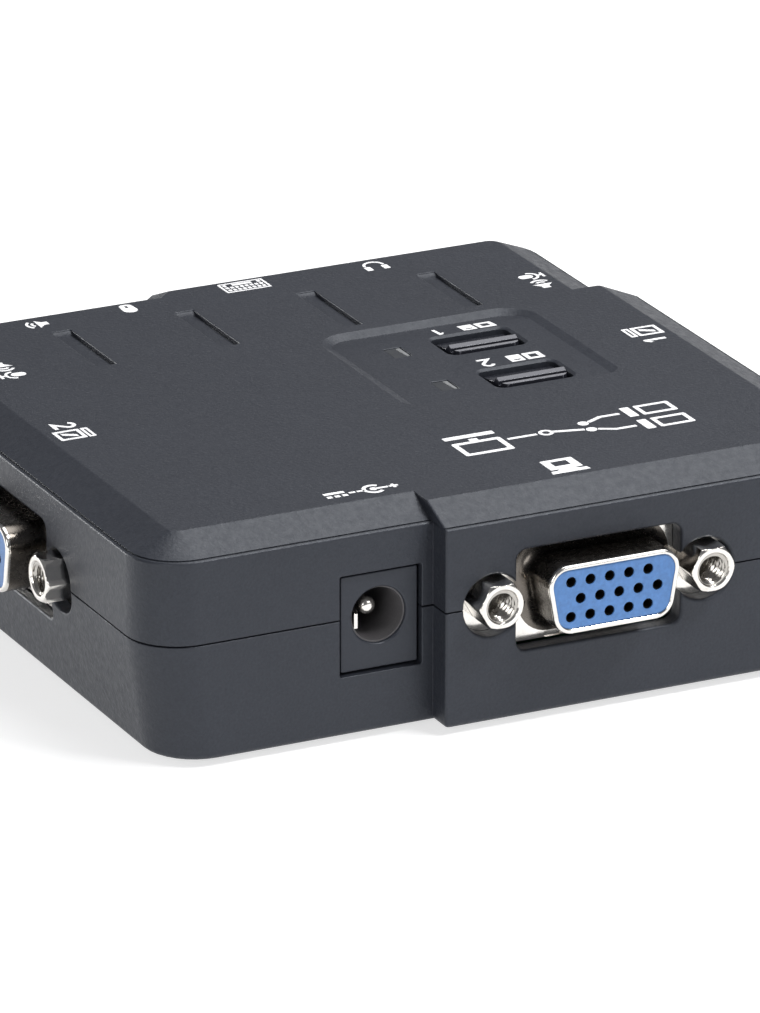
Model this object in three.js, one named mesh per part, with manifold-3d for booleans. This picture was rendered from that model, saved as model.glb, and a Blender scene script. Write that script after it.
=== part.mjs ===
// Two-computer desktop KVM switch: a flat square case with stepped sides, a display socket on three
// sides, a power inlet beside the console display socket, USB and audio sockets at the user's side,
// and two selector buttons in a shallow pocket on top.
//
// Millimetres, +Z up. The origin is the centre of the bounding box at the underside of the feet.
// -Y is the side with the power inlet and the console display socket, +Y is the user's side,
// +X is the side of computer 1 and -X is the side of computer 2.

import * as THREE from 'three';
import { mergeVertices } from 'three/addons/utils/BufferGeometryUtils.js';
import Module from 'manifold-3d';

const wasm = await Module();
wasm.setup();

// ---------------------------------------------------------------- driving dimensions

const GAP = 0.3; // play between neighbouring pieces
const SLIT = 0.1; // play between pieces of one connector

const FOOT = { radius: 3.8, proud: 0.8, sunk: 0.7 };
const FEET = [[-34.5, -29.8], [34.5, -33], [32.5, 37], [-33.5, 35.8]];

const BOTTOM_Z = FOOT.proud;
const SEAM_Z = BOTTOM_Z + 13.17; // where the two covers meet
const BEVEL_Z = BOTTOM_Z + 22.47; // lower edge of the sloping border
const TOP_Z = BOTTOM_Z + 24.46;
const WALL = 2.0;
const CORNER_RADIUS = 6.0;
const BEVEL_WIDTH = 4.7;
const SIDE_DRAFT = 1.9; // the lower cover's side walls lean in by this much at the bottom

const SIDE_X = 42.77; // proud side walls
const FRONT_Y = -39.325; // proud front wall
const BACK_Y = 42.575; // proud back wall
const FRONT_STEP = { x: -9.82, depth: 3.05 };
const RIGHT_STEP = { y: 18.575, depth: 3.5 };
const BACK_STEP = { x: -8.05, depth: 1.6 };
const LEFT_STEP = { y: 17.8, depth: 2.4 };
const FRONT_RECESS_Y = FRONT_Y + FRONT_STEP.depth;
const BACK_RECESS_Y = BACK_Y - BACK_STEP.depth;
const RIGHT_RECESS_X = SIDE_X - RIGHT_STEP.depth;
const LEFT_RECESS_X = -SIDE_X + LEFT_STEP.depth;

const LIP = { inset: 1.4, height: 1.4 }; // tongue of the lower cover inside the upper one
const CEILING_INSET = 6.0; // inner edge of the sloping border, inside the case

const BOARD = { bottomZ: BOTTOM_Z + 5.3, topZ: BOTTOM_Z + 6.9, halfX: 38.2, frontY: -33.2, backY: 37 };
const BOARD_NARROW = { halfX: 35.2, fromY: 14 };

const BOSSES = [[-28.5, -24.5], [29.5, -26.5], [-31.8, 29.2], [29.5, 31]];
const BOSS = { upperRadius: 3.4, pilotRadius: 1.6, pilotDepth: 10, lowerRadius: 4, clearRadius: 1.7 };
const SCREW = { headRadius: 2.5, headHeight: 1.9, shankRadius: 1.3, tipZ: BOTTOM_Z + 15 };
const SCREW_SEAT = { radius: 2.75, topZ: BOTTOM_Z + 3.2 };

const GROOVE = { width: 2.3, length: 12.4, depth: 0.52, firstX: -22.8, pitch: 15, y: 24.7, count: 4 };

const POCKET = {
  x0: 1, x1: 27.4, y0: -7.9, y1: 16.7, depth: 0.33, nearRadius: 1.8, farRadius: 4, sideRun: 1.2, nearRun: 0.4,
  farRun: 2.2,
};

const BUTTON_HOLE = { x: 17.8, halfX: 4.95, halfY: 3.2, radius: 1.2 };
const BUTTON_CAP = { halfX: 4.2, halfY: 2.9, baseDrop: 0.65, radius: 0.6 };
const BUTTON_RIDGE = { lip: 0.35, nearY: -1.85, slopeStart: 0.55, crestY: -1.25, crest: 0.95 };
const BUTTON_FLANGE = { halfX: 5.8, halfY: 4.1, thick: 1.0, play: 0.25 };
const BUTTON_STEM_RADIUS = 2;
const BUTTONS = [{ name: 'pc1', y: 8.7 }, { name: 'pc2', y: -3.1 }];

const TACT = { half: 3, height: 3.5, boreRadius: 1.9, boreDepth: 2.4, pinRadius: 1.7, sunk: 1.4, topZ: 15 };

const LENS = { x: 8.1, ahead: 0.35, halfX: 1.0, halfY: 1.5, drop: 0.25, flange: 0.7, flangeThick: 0.8 };
const LED = { halfX: 0.8, halfY: 0.6, height: 1.1 };

const DSUB = {
  z: BOTTOM_Z + 13.8, flangeBack: WALL + 0.1, flangeThick: 0.8, flangeX: 15.4, flangeZ: 6.2,
  shellReach: 5.7, shellWidth: 16.33, shellHeight: 7.75, shellWall: 0.4, shellRadius: 2.2, slant: 10,
  screwSpacing: 12.55, screwFlat: 4.8, screwReach: 4.3, screwBore: 1.7, boreDepth: 3.6,
  shankRadius: 1.3, shankHole: 1.7, shankLength: 3, pinPitch: 2.29, rowPitch: 1.98, pinRadius: 0.52,
  pinDepth: 3, bodyX: 9.6, bodyZ: 5.4, bodyDepth: 9,
};
const DSUB_WINDOW = { z: SEAM_Z, halfX: 9.8, halfZ: 5.7, radius: 1.2, lobeRadius: 3.5 };
const DSUBS = [
  { name: 'console', x: 8.38, y: FRONT_Y, turn: 0 },
  { name: 'pc2', x: -SIDE_X, y: 0.075, turn: -Math.PI / 2 },
  { name: 'pc1', x: SIDE_X, y: 0.075, turn: Math.PI / 2 },
];

const DC = {
  x: -15.92, y: FRONT_RECESS_Y, z: BOTTOM_Z + 12.4, halfX: 4.65, halfZ: 5.55, faceBack: 0.5, depth: 13.9,
  holeZ: 0.5, holeRadius: 3.15, holeDepth: 9.5, pinRadius: 1.0, pinBack: 2.5,
};
const DC_SPRING = { halfWidth: 1, thick: 0.25, length: 9, bends: [[0, 0], [0.5, 0.4], [0.88, 0.85], [1, 0.5]] };

const USB = {
  z: BOTTOM_Z + 10.8, halfX: 6.55, halfZ: 2.85, wall: 0.4, reach: 0.35, depth: 13.6,
  tongueHalfX: 5.4, tongueThick: 1.8, tongueRise: 1.0, tongueBack: 1, baseDepth: 4,
};
const USBS = [
  { name: 'mouse', x: -13.6, y: BACK_RECESS_Y, turn: Math.PI },
  { name: 'keyboard', x: 1.9, y: BACK_Y, turn: Math.PI },
];

const JACK = {
  z: BOTTOM_Z + 10.4, half: 3.2, collarRadius: 3.0, sleeveRadius: 2.4, boreRadius: 1.8, sleeveDepth: 3,
  boreDepth: 10, depth: 12, faceBack: 0.2,
};
const JACKS = [
  { name: 'speaker', x: -24.4, y: BACK_RECESS_Y, turn: Math.PI },
  { name: 'headset', x: 18.1, y: BACK_Y, turn: Math.PI },
  { name: 'pc1_audio', x: RIGHT_RECESS_X, y: 23.075, turn: Math.PI / 2 },
  { name: 'pc2_audio', x: LEFT_RECESS_X, y: 21.575, turn: -Math.PI / 2 },
];

const CHIPS = [
  { name: 'switch_chip', x: -2, y: -14, sizeX: 14, sizeY: 14, height: 1.4, slot: 'chip' },
  { name: 'hub_chip', x: -8, y: 10, sizeX: 7, sizeY: 7, height: 1.2, slot: 'chip' },
  { name: 'power_regulator', x: -17, y: -14, sizeX: 6.5, sizeY: 3.5, height: 1.7, slot: 'chip' },
  { name: 'crystal', x: -8, y: 18, sizeX: 11, sizeY: 4.5, height: 3.5, slot: 'nickel' },
];
const CAPACITORS = [{ name: 'capacitor_1', x: -25, y: -14 }, { name: 'capacitor_2', x: -25, y: -6 }];
const CAPACITOR = { radius: 2.5, height: 7 };

// ---------------------------------------------------------------- materials

const MATERIALS = {
  case: { color: 0x3c3f45, roughness: 0.55, metalness: 0 },
  button: { color: 0x303238, roughness: 0.4, metalness: 0 },
  lens: { color: 0x52585c, roughness: 0.25, metalness: 0 },
  nickel: { color: 0xc9c5bf, roughness: 0.25, metalness: 1 },
  blue: { color: 0x4f86c9, roughness: 0.5, metalness: 0 },
  black: { color: 0x1b1c1e, roughness: 0.5, metalness: 0 },
  rubber: { color: 0x17181a, roughness: 0.9, metalness: 0 },
  board: { color: 0x1f5a3a, roughness: 0.6, metalness: 0 },
  chip: { color: 0x222326, roughness: 0.6, metalness: 0 },
};

// ---------------------------------------------------------------- shape helpers

// Turns a closed geometry into a manifold solid.
function solidOf(geometry) {
  const bare = geometry.clone();
  bare.deleteAttribute('normal');
  bare.deleteAttribute('uv');
  const merged = mergeVertices(bare, 1e-5);
  return new wasm.Manifold(new wasm.Mesh({
    numProp: 3,
    vertProperties: new Float32Array(merged.attributes.position.array),
    triVerts: new Uint32Array(merged.index.array),
  }));
}

// Turns a manifold solid back into a three.js geometry.
function geometryOf(solid) {
  const mesh = solid.getMesh();
  const geometry = new THREE.BufferGeometry();
  geometry.setAttribute('position', new THREE.BufferAttribute(mesh.vertProperties, 3));
  geometry.setIndex(new THREE.BufferAttribute(mesh.triVerts, 1));
  geometry.computeVertexNormals();
  return geometry;
}

// Joins the geometries in adds to the base, then cuts the geometries in cuts away.
function combine(base, adds, cuts) {
  let solid = solidOf(base);
  for (const piece of adds) solid = solid.add(solidOf(piece));
  for (const piece of cuts) solid = solid.subtract(solidOf(piece));
  return geometryOf(solid);
}

// Outline of a polygon whose corners, given anticlockwise as [x, y, radius], are rounded.
// A corner of radius 0 stays sharp.
function roundedOutline(corners, steps = 5) {
  const outline = [];
  corners.forEach(([x, y, radius], i) => {
    const corner = new THREE.Vector2(x, y);
    if (radius === 0) {
      outline.push(corner);
      return;
    }
    const [beforeX, beforeY] = corners.at(i - 1);
    const [afterX, afterY] = corners[(i + 1) % corners.length];
    const before = new THREE.Vector2(beforeX, beforeY).sub(corner).normalize();
    const after = new THREE.Vector2(afterX, afterY).sub(corner).normalize();
    const half = Math.acos(before.dot(after)) / 2;
    const middle = before.clone().add(after).normalize();
    const centre = corner.clone().addScaledVector(middle, radius / Math.sin(half));
    const start = corner.clone().addScaledVector(before, radius / Math.tan(half));
    const sweep = Math.PI - 2 * half;
    for (let k = 0; k <= steps; k++) {
      outline.push(start.clone().rotateAround(centre, (sweep * k) / steps));
    }
  });
  return outline;
}

function rectangle(halfX, halfY, radius = 0, x = 0, y = 0, steps = 5) {
  const corners = [[-1, -1], [1, -1], [1, 1], [-1, 1]];
  return roundedOutline(corners.map(([sx, sy]) => [x + sx * halfX, y + sy * halfY, radius]), steps);
}

function circle(radius, count = 16, x = 0, y = 0) {
  const outline = [];
  for (let k = 0; k < count; k++) {
    const angle = (2 * Math.PI * k) / count;
    outline.push(new THREE.Vector2(x + radius * Math.cos(angle), y + radius * Math.sin(angle)));
  }
  return outline;
}

// Prism on an outline in the XY plane, from fromZ up to toZ.
function prism(outline, fromZ, toZ) {
  const shape = new THREE.Shape(outline);
  const geometry = new THREE.ExtrudeGeometry(shape, { depth: toZ - fromZ, bevelEnabled: false });
  return geometry.translate(0, 0, fromZ);
}

// Prism on an outline that is seen from outside the case, x to the right and y up, reaching along -Y
// from one distance in front of the wall face to another. Distances behind the face are negative.
function outward(outline, from, to) {
  return prism(outline, from, to).rotateX(Math.PI / 2);
}

// Closed skin through rings of equal numbers of points, from the lowest ring to the highest.
function loft(rings) {
  const count = rings[0].length;
  const positions = rings.flat().flatMap((point) => [point.x, point.y, point.z]);
  const index = [];
  for (let ring = 0; ring < rings.length - 1; ring++) {
    for (let k = 0; k < count; k++) {
      const a = ring * count + k;
      const b = ring * count + ((k + 1) % count);
      index.push(a, b, b + count, a, b + count, a + count);
    }
  }
  const capOf = (ring) => THREE.ShapeUtils.triangulateShape(ring.map((p) => new THREE.Vector2(p.x, p.y)), []);
  const last = (rings.length - 1) * count;
  for (const [a, b, c] of capOf(rings[0])) index.push(a, c, b);
  for (const [a, b, c] of capOf(rings.at(-1))) index.push(last + a, last + b, last + c);
  const geometry = new THREE.BufferGeometry();
  geometry.setAttribute('position', new THREE.Float32BufferAttribute(positions, 3));
  geometry.setIndex(index);
  return geometry.toNonIndexed();
}

function atHeight(outline, z) {
  return outline.map((point) => new THREE.Vector3(point.x, point.y, z));
}

// Moves a geometry made with outward() to a site on one of the case's walls.
function onWall(geometry, site, z) {
  return geometry.rotateZ(site.turn).translate(site.x, site.y, z);
}

const root = new THREE.Group();

function addMesh(name, geometry, slot, parent = root) {
  const mesh = new THREE.Mesh(geometry, new THREE.MeshStandardMaterial(MATERIALS[slot]));
  mesh.name = name;
  parent.add(mesh);
}

// Group whose local -Y points out of the wall at a site.
function wallGroup(site, z) {
  const group = new THREE.Group();
  group.position.set(site.x, site.y, z);
  group.rotation.z = site.turn;
  root.add(group);
  return group;
}

// ---------------------------------------------------------------- outlines

// The case's outline, its long walls moved in by wallInset, its step faces by stepInset and its two
// side walls by a further sideInset.
function caseOutline(wallInset, stepInset, sideInset = 0) {
  const radius = Math.max(CORNER_RADIUS - wallInset, GAP);
  const sideways = wallInset + sideInset;
  return roundedOutline([
    [-SIDE_X + sideways, FRONT_RECESS_Y + wallInset, radius],
    [FRONT_STEP.x + stepInset, FRONT_RECESS_Y + wallInset, 0],
    [FRONT_STEP.x + stepInset, FRONT_Y + wallInset, 0],
    [SIDE_X - sideways, FRONT_Y + wallInset, radius],
    [SIDE_X - sideways, RIGHT_STEP.y - stepInset, 0],
    [RIGHT_RECESS_X - sideways, RIGHT_STEP.y - stepInset, 0],
    [RIGHT_RECESS_X - sideways, BACK_Y - wallInset, radius],
    [BACK_STEP.x + BACK_STEP.depth + stepInset, BACK_Y - wallInset, 0],
    [BACK_STEP.x + stepInset, BACK_RECESS_Y - wallInset, 0],
    [LEFT_RECESS_X + sideways, BACK_RECESS_Y - wallInset, radius],
    [LEFT_RECESS_X + sideways, LEFT_STEP.y - stepInset, 0],
    [-SIDE_X + sideways, LEFT_STEP.y - stepInset, 0],
  ]);
}

// Rounded D of a display socket: wide side up, both ends leaning in.
function dOutline(width, height, radius) {
  const lean = (height / 2) * Math.tan(THREE.MathUtils.degToRad(DSUB.slant));
  const top = width / 2;
  const bottom = top - 2 * lean;
  const low = -height / 2;
  return roundedOutline([[-bottom, low, radius], [bottom, low, radius], [top, -low, radius], [-top, -low, radius]]);
}

function hexagon(flat) {
  return circle(flat / 2 / Math.cos(Math.PI / 6), 6);
}

// ---------------------------------------------------------------- openings in the walls

// Everything that is cut through the walls of both covers for the connectors.
function wallCutters() {
  const through = [-WALL - 1, 1];
  const cutters = [];
  for (const site of DSUBS) {
    const { halfX, halfZ, radius, lobeRadius, z } = DSUB_WINDOW;
    cutters.push(onWall(outward(rectangle(halfX, halfZ, radius), ...through), site, z));
    for (const side of [-1, 1]) {
      const lobe = circle(lobeRadius, 20, side * DSUB.screwSpacing);
      cutters.push(onWall(outward(lobe, ...through), site, z));
    }
    const flange = rectangle(DSUB.flangeX + GAP, DSUB.flangeZ + GAP);
    cutters.push(onWall(outward(flange, -2 * WALL, -WALL), site, DSUB.z));
  }
  cutters.push(outward(rectangle(DC.halfX + GAP / 2, DC.halfZ + GAP / 2), ...through).translate(DC.x, DC.y, DC.z));
  for (const site of USBS) {
    cutters.push(onWall(outward(rectangle(USB.halfX + GAP, USB.halfZ + GAP, 0.5), ...through), site, USB.z));
  }
  for (const site of JACKS) {
    cutters.push(onWall(outward(circle(JACK.collarRadius + GAP), ...through), site, JACK.z));
    const block = rectangle(JACK.half + GAP, JACK.half + GAP);
    cutters.push(onWall(outward(block, -2 * WALL, -WALL), site, JACK.z));
  }
  return cutters;
}

// ---------------------------------------------------------------- covers

// The shallow pocket round the buttons, with sloping sides.
function pocketCutter() {
  const { x0, x1, y0, y1, depth, nearRadius, farRadius, sideRun, nearRun, farRun } = POCKET;
  const rim = roundedOutline([[x0, y0, nearRadius], [x1, y0, nearRadius], [x1, y1, farRadius], [x0, y1, farRadius]]);
  const floor = roundedOutline([
    [x0 + sideRun, y0 + nearRun, nearRadius - sideRun], [x1 - sideRun, y0 + nearRun, nearRadius - sideRun],
    [x1 - sideRun, y1 - farRun, farRadius - sideRun], [x0 + sideRun, y1 - farRun, farRadius - sideRun],
  ]);
  return loft([atHeight(floor, TOP_Z - depth), atHeight(rim, TOP_Z), atHeight(rim, TOP_Z + 1)]);
}

function topCover() {
  const outside = loft([
    atHeight(caseOutline(0, 0), SEAM_Z + GAP / 2),
    atHeight(caseOutline(0, 0), BEVEL_Z),
    atHeight(caseOutline(BEVEL_WIDTH, 0), TOP_Z),
  ]);
  const rebate = LIP.inset - GAP;
  const rebateZ = SEAM_Z + LIP.height + GAP;
  const inside = loft([
    atHeight(caseOutline(rebate, rebate), SEAM_Z - 1),
    atHeight(caseOutline(rebate, rebate), rebateZ),
    atHeight(caseOutline(WALL, WALL), rebateZ),
    atHeight(caseOutline(WALL, WALL), BEVEL_Z - WALL),
    atHeight(caseOutline(CEILING_INSET, WALL), TOP_Z - WALL),
  ]);
  const hollow = combine(outside, [], [inside]);
  const bossBottom = BOARD.topZ + SLIT;
  const bosses = BOSSES.map(([x, y]) => prism(circle(BOSS.upperRadius, 16, x, y), bossBottom, TOP_Z - WALL * 0.8));
  const cuts = [...wallCutters(), pocketCutter()];
  for (const [x, y] of BOSSES) {
    cuts.push(prism(circle(BOSS.pilotRadius, 8, x, y), bossBottom - 1, bossBottom + BOSS.pilotDepth));
  }
  for (let k = 0; k < GROOVE.count; k++) {
    const x = GROOVE.firstX + k * GROOVE.pitch;
    const outline = rectangle(GROOVE.width / 2, GROOVE.length / 2, 0, x, GROOVE.y);
    cuts.push(prism(outline, TOP_Z - GROOVE.depth, TOP_Z + 1));
  }
  for (const { y } of BUTTONS) {
    const hole = rectangle(BUTTON_HOLE.halfX, BUTTON_HOLE.halfY, BUTTON_HOLE.radius, BUTTON_HOLE.x, y);
    cuts.push(prism(hole, TOP_Z - 2 * WALL, TOP_Z + 1));
    const window = rectangle(LENS.halfX + GAP / 2, LENS.halfY + GAP / 2, 0, LENS.x, y + LENS.ahead);
    cuts.push(prism(window, TOP_Z - 2 * WALL, TOP_Z + 1));
  }
  return combine(hollow, bosses, cuts);
}

function bottomCover() {
  const rimZ = SEAM_Z - GAP / 2;
  const outside = loft([
    atHeight(caseOutline(0, 0, SIDE_DRAFT), BOTTOM_Z),
    atHeight(caseOutline(0, 0), rimZ),
    atHeight(caseOutline(LIP.inset, LIP.inset), rimZ),
    atHeight(caseOutline(LIP.inset, LIP.inset), SEAM_Z + LIP.height),
  ]);
  const inside = loft([
    atHeight(caseOutline(WALL, WALL, SIDE_DRAFT), BOTTOM_Z + WALL),
    atHeight(caseOutline(WALL, WALL), rimZ),
    atHeight(caseOutline(WALL, WALL), SEAM_Z + LIP.height + 1),
  ]);
  const bosses = BOSSES.map(([x, y]) => {
    return prism(circle(BOSS.lowerRadius, 16, x, y), BOTTOM_Z + WALL / 2, BOARD.bottomZ - SLIT);
  });
  const cuts = wallCutters();
  for (const [x, y] of BOSSES) {
    cuts.push(prism(circle(SCREW_SEAT.radius, 16, x, y), 0, SCREW_SEAT.topZ));
    cuts.push(prism(circle(BOSS.clearRadius, 8, x, y), 0, BOARD.topZ));
  }
  for (const [x, y] of FEET) {
    cuts.push(prism(circle(FOOT.radius + GAP / 2, 16, x, y), 0, BOTTOM_Z + FOOT.sunk));
  }
  return combine(combine(outside, [], [inside]), bosses, cuts);
}

// ---------------------------------------------------------------- board

function mainBoard() {
  const outline = [
    [-BOARD.halfX, BOARD.frontY], [BOARD.halfX, BOARD.frontY],
    [BOARD.halfX, BOARD_NARROW.fromY], [BOARD_NARROW.halfX, BOARD_NARROW.fromY],
    [BOARD_NARROW.halfX, BOARD.backY], [-BOARD_NARROW.halfX, BOARD.backY],
    [-BOARD_NARROW.halfX, BOARD_NARROW.fromY], [-BOARD.halfX, BOARD_NARROW.fromY],
  ].map(([x, y]) => new THREE.Vector2(x, y));
  const holes = BOSSES.map(([x, y]) => {
    return prism(circle(BOSS.clearRadius, 8, x, y), BOARD.bottomZ - 1, BOARD.topZ + 1);
  });
  return combine(prism(outline, BOARD.bottomZ, BOARD.topZ), [], holes);
}

// ---------------------------------------------------------------- buttons, switches and lamps

// A cap with a ridge across it, on a wide flange that stays under the cover, and a stem.
function button(y) {
  const x = BUTTON_HOLE.x;
  const baseZ = TOP_Z - BUTTON_CAP.baseDrop;
  const flangeTop = TOP_Z - WALL - BUTTON_FLANGE.play;
  const flangeBottom = flangeTop - BUTTON_FLANGE.thick;
  const cap = prism(rectangle(BUTTON_CAP.halfX, BUTTON_CAP.halfY, BUTTON_CAP.radius, x, y), flangeBottom, baseZ);
  const flange = prism(rectangle(BUTTON_FLANGE.halfX, BUTTON_FLANGE.halfY, 0, x, y), flangeBottom, flangeTop);
  const stem = prism(circle(BUTTON_STEM_RADIUS, 16, x, y), TACT.topZ + SLIT, baseZ - 1);
  const { halfY } = BUTTON_CAP;
  const { lip, nearY, slopeStart, crestY, crest } = BUTTON_RIDGE;
  const profile = [
    [-halfY, -1], [-halfY, lip], [nearY, lip], [nearY, slopeStart], [crestY, crest], [halfY, 0], [halfY, -1],
  ].map(([along, up]) => new THREE.Vector2(-along, up));
  const ridge = prism(profile, -BUTTON_CAP.halfX, BUTTON_CAP.halfX)
    .rotateX(Math.PI / 2)
    .rotateZ(-Math.PI / 2)
    .translate(x, y, baseZ);
  return combine(cap, [flange, stem, ridge], []);
}

// Momentary switch under a button.
function switchBody(y) {
  const x = BUTTON_HOLE.x;
  const bottom = BOARD.topZ + SLIT;
  const top = bottom + TACT.height;
  const block = prism(rectangle(TACT.half, TACT.half, 0, x, y), bottom, top);
  return combine(block, [], [prism(circle(TACT.boreRadius, 16, x, y), top - TACT.boreDepth, top + 1)]);
}

function switchPlunger(y) {
  const bottom = BOARD.topZ + SLIT + TACT.height - TACT.sunk;
  return prism(circle(TACT.pinRadius, 16, BUTTON_HOLE.x, y), bottom, TACT.topZ);
}

// Light pipe from the lamp on the board to the window beside its button.
function lampLens(y) {
  const topZ = TOP_Z - POCKET.depth - LENS.drop;
  const pipe = prism(rectangle(LENS.halfX, LENS.halfY, 0, LENS.x, y), BOARD.topZ + LED.height + 2 * GAP, topZ);
  const halfX = LENS.halfX + LENS.flange;
  const halfY = LENS.halfY + LENS.flange;
  const flangeTop = TOP_Z - WALL - SLIT;
  const flange = prism(rectangle(halfX, halfY, 0, LENS.x, y), flangeTop - LENS.flangeThick, flangeTop);
  return combine(pipe, [flange], []);
}

function lamp(y) {
  const bottom = BOARD.topZ + SLIT;
  return prism(rectangle(LED.halfX, LED.halfY, 0, LENS.x, y), bottom, bottom + LED.height);
}

// ---------------------------------------------------------------- display sockets

// Pressed metal front: flange with two screw holes and the D-shaped collar.
function dsubShell() {
  const { flangeBack, flangeThick, flangeX, flangeZ, shellReach, shellWidth, shellHeight, shellWall } = DSUB;
  const { shellRadius } = DSUB;
  const flange = outward(rectangle(flangeX, flangeZ, 1.5), -flangeBack - flangeThick, -flangeBack);
  const tip = shellReach - flangeBack;
  const collar = outward(dOutline(shellWidth, shellHeight, shellRadius), -flangeBack - flangeThick / 2, tip);
  const innerWidth = shellWidth - 2 * shellWall;
  const inner = dOutline(innerWidth, shellHeight - 2 * shellWall, shellRadius - shellWall);
  const cuts = [outward(inner, -flangeBack - 2, tip + 1)];
  for (const side of [-1, 1]) {
    const hole = circle(DSUB.shankHole, 8, side * DSUB.screwSpacing);
    cuts.push(outward(hole, -flangeBack - 2, -flangeBack + 1));
  }
  return combine(flange, [collar], cuts);
}

// Plastic block with fifteen contact holes in three rows, the middle row half a pitch to the right.
function dsubInsert() {
  const { flangeBack, flangeThick, shellReach, shellWidth, shellHeight, shellWall, shellRadius } = DSUB;
  const inset = shellWall + SLIT;
  const outline = dOutline(shellWidth - 2 * inset, shellHeight - 2 * inset, shellRadius - inset);
  const face = shellReach - flangeBack - SLIT;
  const blockFront = -flangeBack - flangeThick - SLIT;
  const front = outward(outline, blockFront - 1, face);
  const block = outward(rectangle(DSUB.bodyX, DSUB.bodyZ), blockFront - DSUB.bodyDepth, blockFront);
  const holes = [];
  for (const row of [-1, 0, 1]) {
    const shift = row === 0 ? DSUB.pinPitch / 4 : -DSUB.pinPitch / 4;
    for (let k = -2; k <= 2; k++) {
      const pin = circle(DSUB.pinRadius, 6, k * DSUB.pinPitch + shift, row * DSUB.rowPitch);
      holes.push(outward(pin, face - DSUB.pinDepth, face + 1));
    }
  }
  return combine(front, [block], holes);
}

// Hexagonal female screw lock with a shank through the flange.
function screwLock(side) {
  const { flangeBack, screwReach, boreDepth } = DSUB;
  const tip = screwReach - flangeBack;
  const hex = outward(hexagon(DSUB.screwFlat), -flangeBack + SLIT, tip);
  const shank = outward(circle(DSUB.shankRadius, 8), -flangeBack - DSUB.shankLength, -flangeBack + 1);
  const bore = outward(circle(DSUB.screwBore, 12), tip - boreDepth, tip + 1);
  return combine(hex, [shank], [bore]).translate(side * DSUB.screwSpacing, 0, 0);
}

// ---------------------------------------------------------------- power inlet

function dcHousing() {
  const { halfX, halfZ, faceBack, depth, holeZ, holeRadius, holeDepth } = DC;
  const block = outward(rectangle(halfX - GAP / 2, halfZ - GAP / 2), -faceBack - depth, -faceBack);
  const hole = outward(circle(holeRadius, 24, 0, holeZ), -faceBack - holeDepth, 1);
  return combine(block, [], [hole]);
}

function dcPin() {
  const { faceBack, holeZ, holeDepth, pinRadius, pinBack } = DC;
  return outward(circle(pinRadius, 12, 0, holeZ), -faceBack - holeDepth + SLIT, -faceBack - pinBack);
}

// Bent leaf along the bore's left wall, touching the plug's barrel. Each bend is a part of the leaf's
// length and its distance from the wall there.
function dcSpring() {
  const { halfWidth, thick, length, bends } = DC_SPRING;
  const far = -DC.faceBack - DC.holeDepth + SLIT;
  const wallX = -Math.sqrt(DC.holeRadius ** 2 - halfWidth ** 2) + SLIT;
  const spine = bends.map(([part, off]) => [wallX + off, far + part * length]);
  const near = spine.map(([x, along]) => new THREE.Vector2(x, -along));
  const back = spine.map(([x, along]) => new THREE.Vector2(x + thick, -along)).reverse();
  return prism([...near, ...back].reverse(), DC.holeZ - halfWidth, DC.holeZ + halfWidth);
}

// ---------------------------------------------------------------- USB sockets

function usbShell() {
  const { halfX, halfZ, wall, reach, depth } = USB;
  const outer = outward(rectangle(halfX, halfZ, 0.5, 0, 0, 2), -depth, reach);
  return combine(outer, [], [outward(rectangle(halfX - wall, halfZ - wall), -depth - 1, reach + 1)]);
}

// Contact tongue in the upper half of the socket, on a block at the back.
function usbTongue() {
  const { halfX, halfZ, wall, depth, tongueHalfX, tongueThick, tongueRise, tongueBack, baseDepth } = USB;
  const inset = wall + SLIT;
  const tongue = rectangle(tongueHalfX, tongueThick / 2, 0, 0, tongueRise);
  const base = outward(rectangle(halfX - inset, halfZ - inset), -depth, -depth + baseDepth);
  return combine(base, [outward(tongue, -depth + 1, -tongueBack)], []);
}

// ---------------------------------------------------------------- audio sockets

function jackHousing() {
  const { half, collarRadius, sleeveRadius, sleeveDepth, boreRadius, boreDepth, depth, faceBack } = JACK;
  const collar = outward(circle(collarRadius), -WALL - 1, -faceBack);
  const block = outward(rectangle(half, half), -depth, -WALL - GAP);
  return combine(block, [collar], [
    outward(circle(sleeveRadius + SLIT), -faceBack - sleeveDepth, 1),
    outward(circle(boreRadius), -faceBack - boreDepth, 1),
  ]);
}

// Metal bush in the mouth of the socket.
function jackSleeve() {
  const { sleeveRadius, sleeveDepth, boreRadius, faceBack } = JACK;
  const tube = outward(circle(sleeveRadius), -faceBack - sleeveDepth + SLIT, 0);
  return combine(tube, [], [outward(circle(boreRadius), -faceBack - sleeveDepth - 1, 1)]);
}

// ---------------------------------------------------------------- screws and feet

function caseScrew(x, y) {
  const headTop = SCREW_SEAT.topZ - SLIT;
  const head = prism(circle(SCREW.headRadius, 16, x, y), headTop - SCREW.headHeight, headTop);
  return combine(head, [prism(circle(SCREW.shankRadius, 8, x, y), headTop - 1, SCREW.tipZ)], []);
}

// ---------------------------------------------------------------- assembly

addMesh('top_cover', topCover(), 'case');
addMesh('bottom_cover', bottomCover(), 'case');
addMesh('main_board', mainBoard(), 'board');

for (const { name, y } of BUTTONS) {
  addMesh(`${name}_button`, button(y), 'button');
  addMesh(`${name}_switch_body`, switchBody(y), 'black');
  addMesh(`${name}_switch_plunger`, switchPlunger(y), 'black');
  addMesh(`${name}_lamp_lens`, lampLens(y + LENS.ahead), 'lens');
  addMesh(`${name}_lamp`, lamp(y + LENS.ahead), 'lens');
}

for (const site of DSUBS) {
  const group = wallGroup(site, DSUB.z);
  addMesh(`${site.name}_video_shell`, dsubShell(), 'nickel', group);
  addMesh(`${site.name}_video_insert`, dsubInsert(), 'blue', group);
  addMesh(`${site.name}_screw_lock_left`, screwLock(-1), 'nickel', group);
  addMesh(`${site.name}_screw_lock_right`, screwLock(1), 'nickel', group);
}

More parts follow.
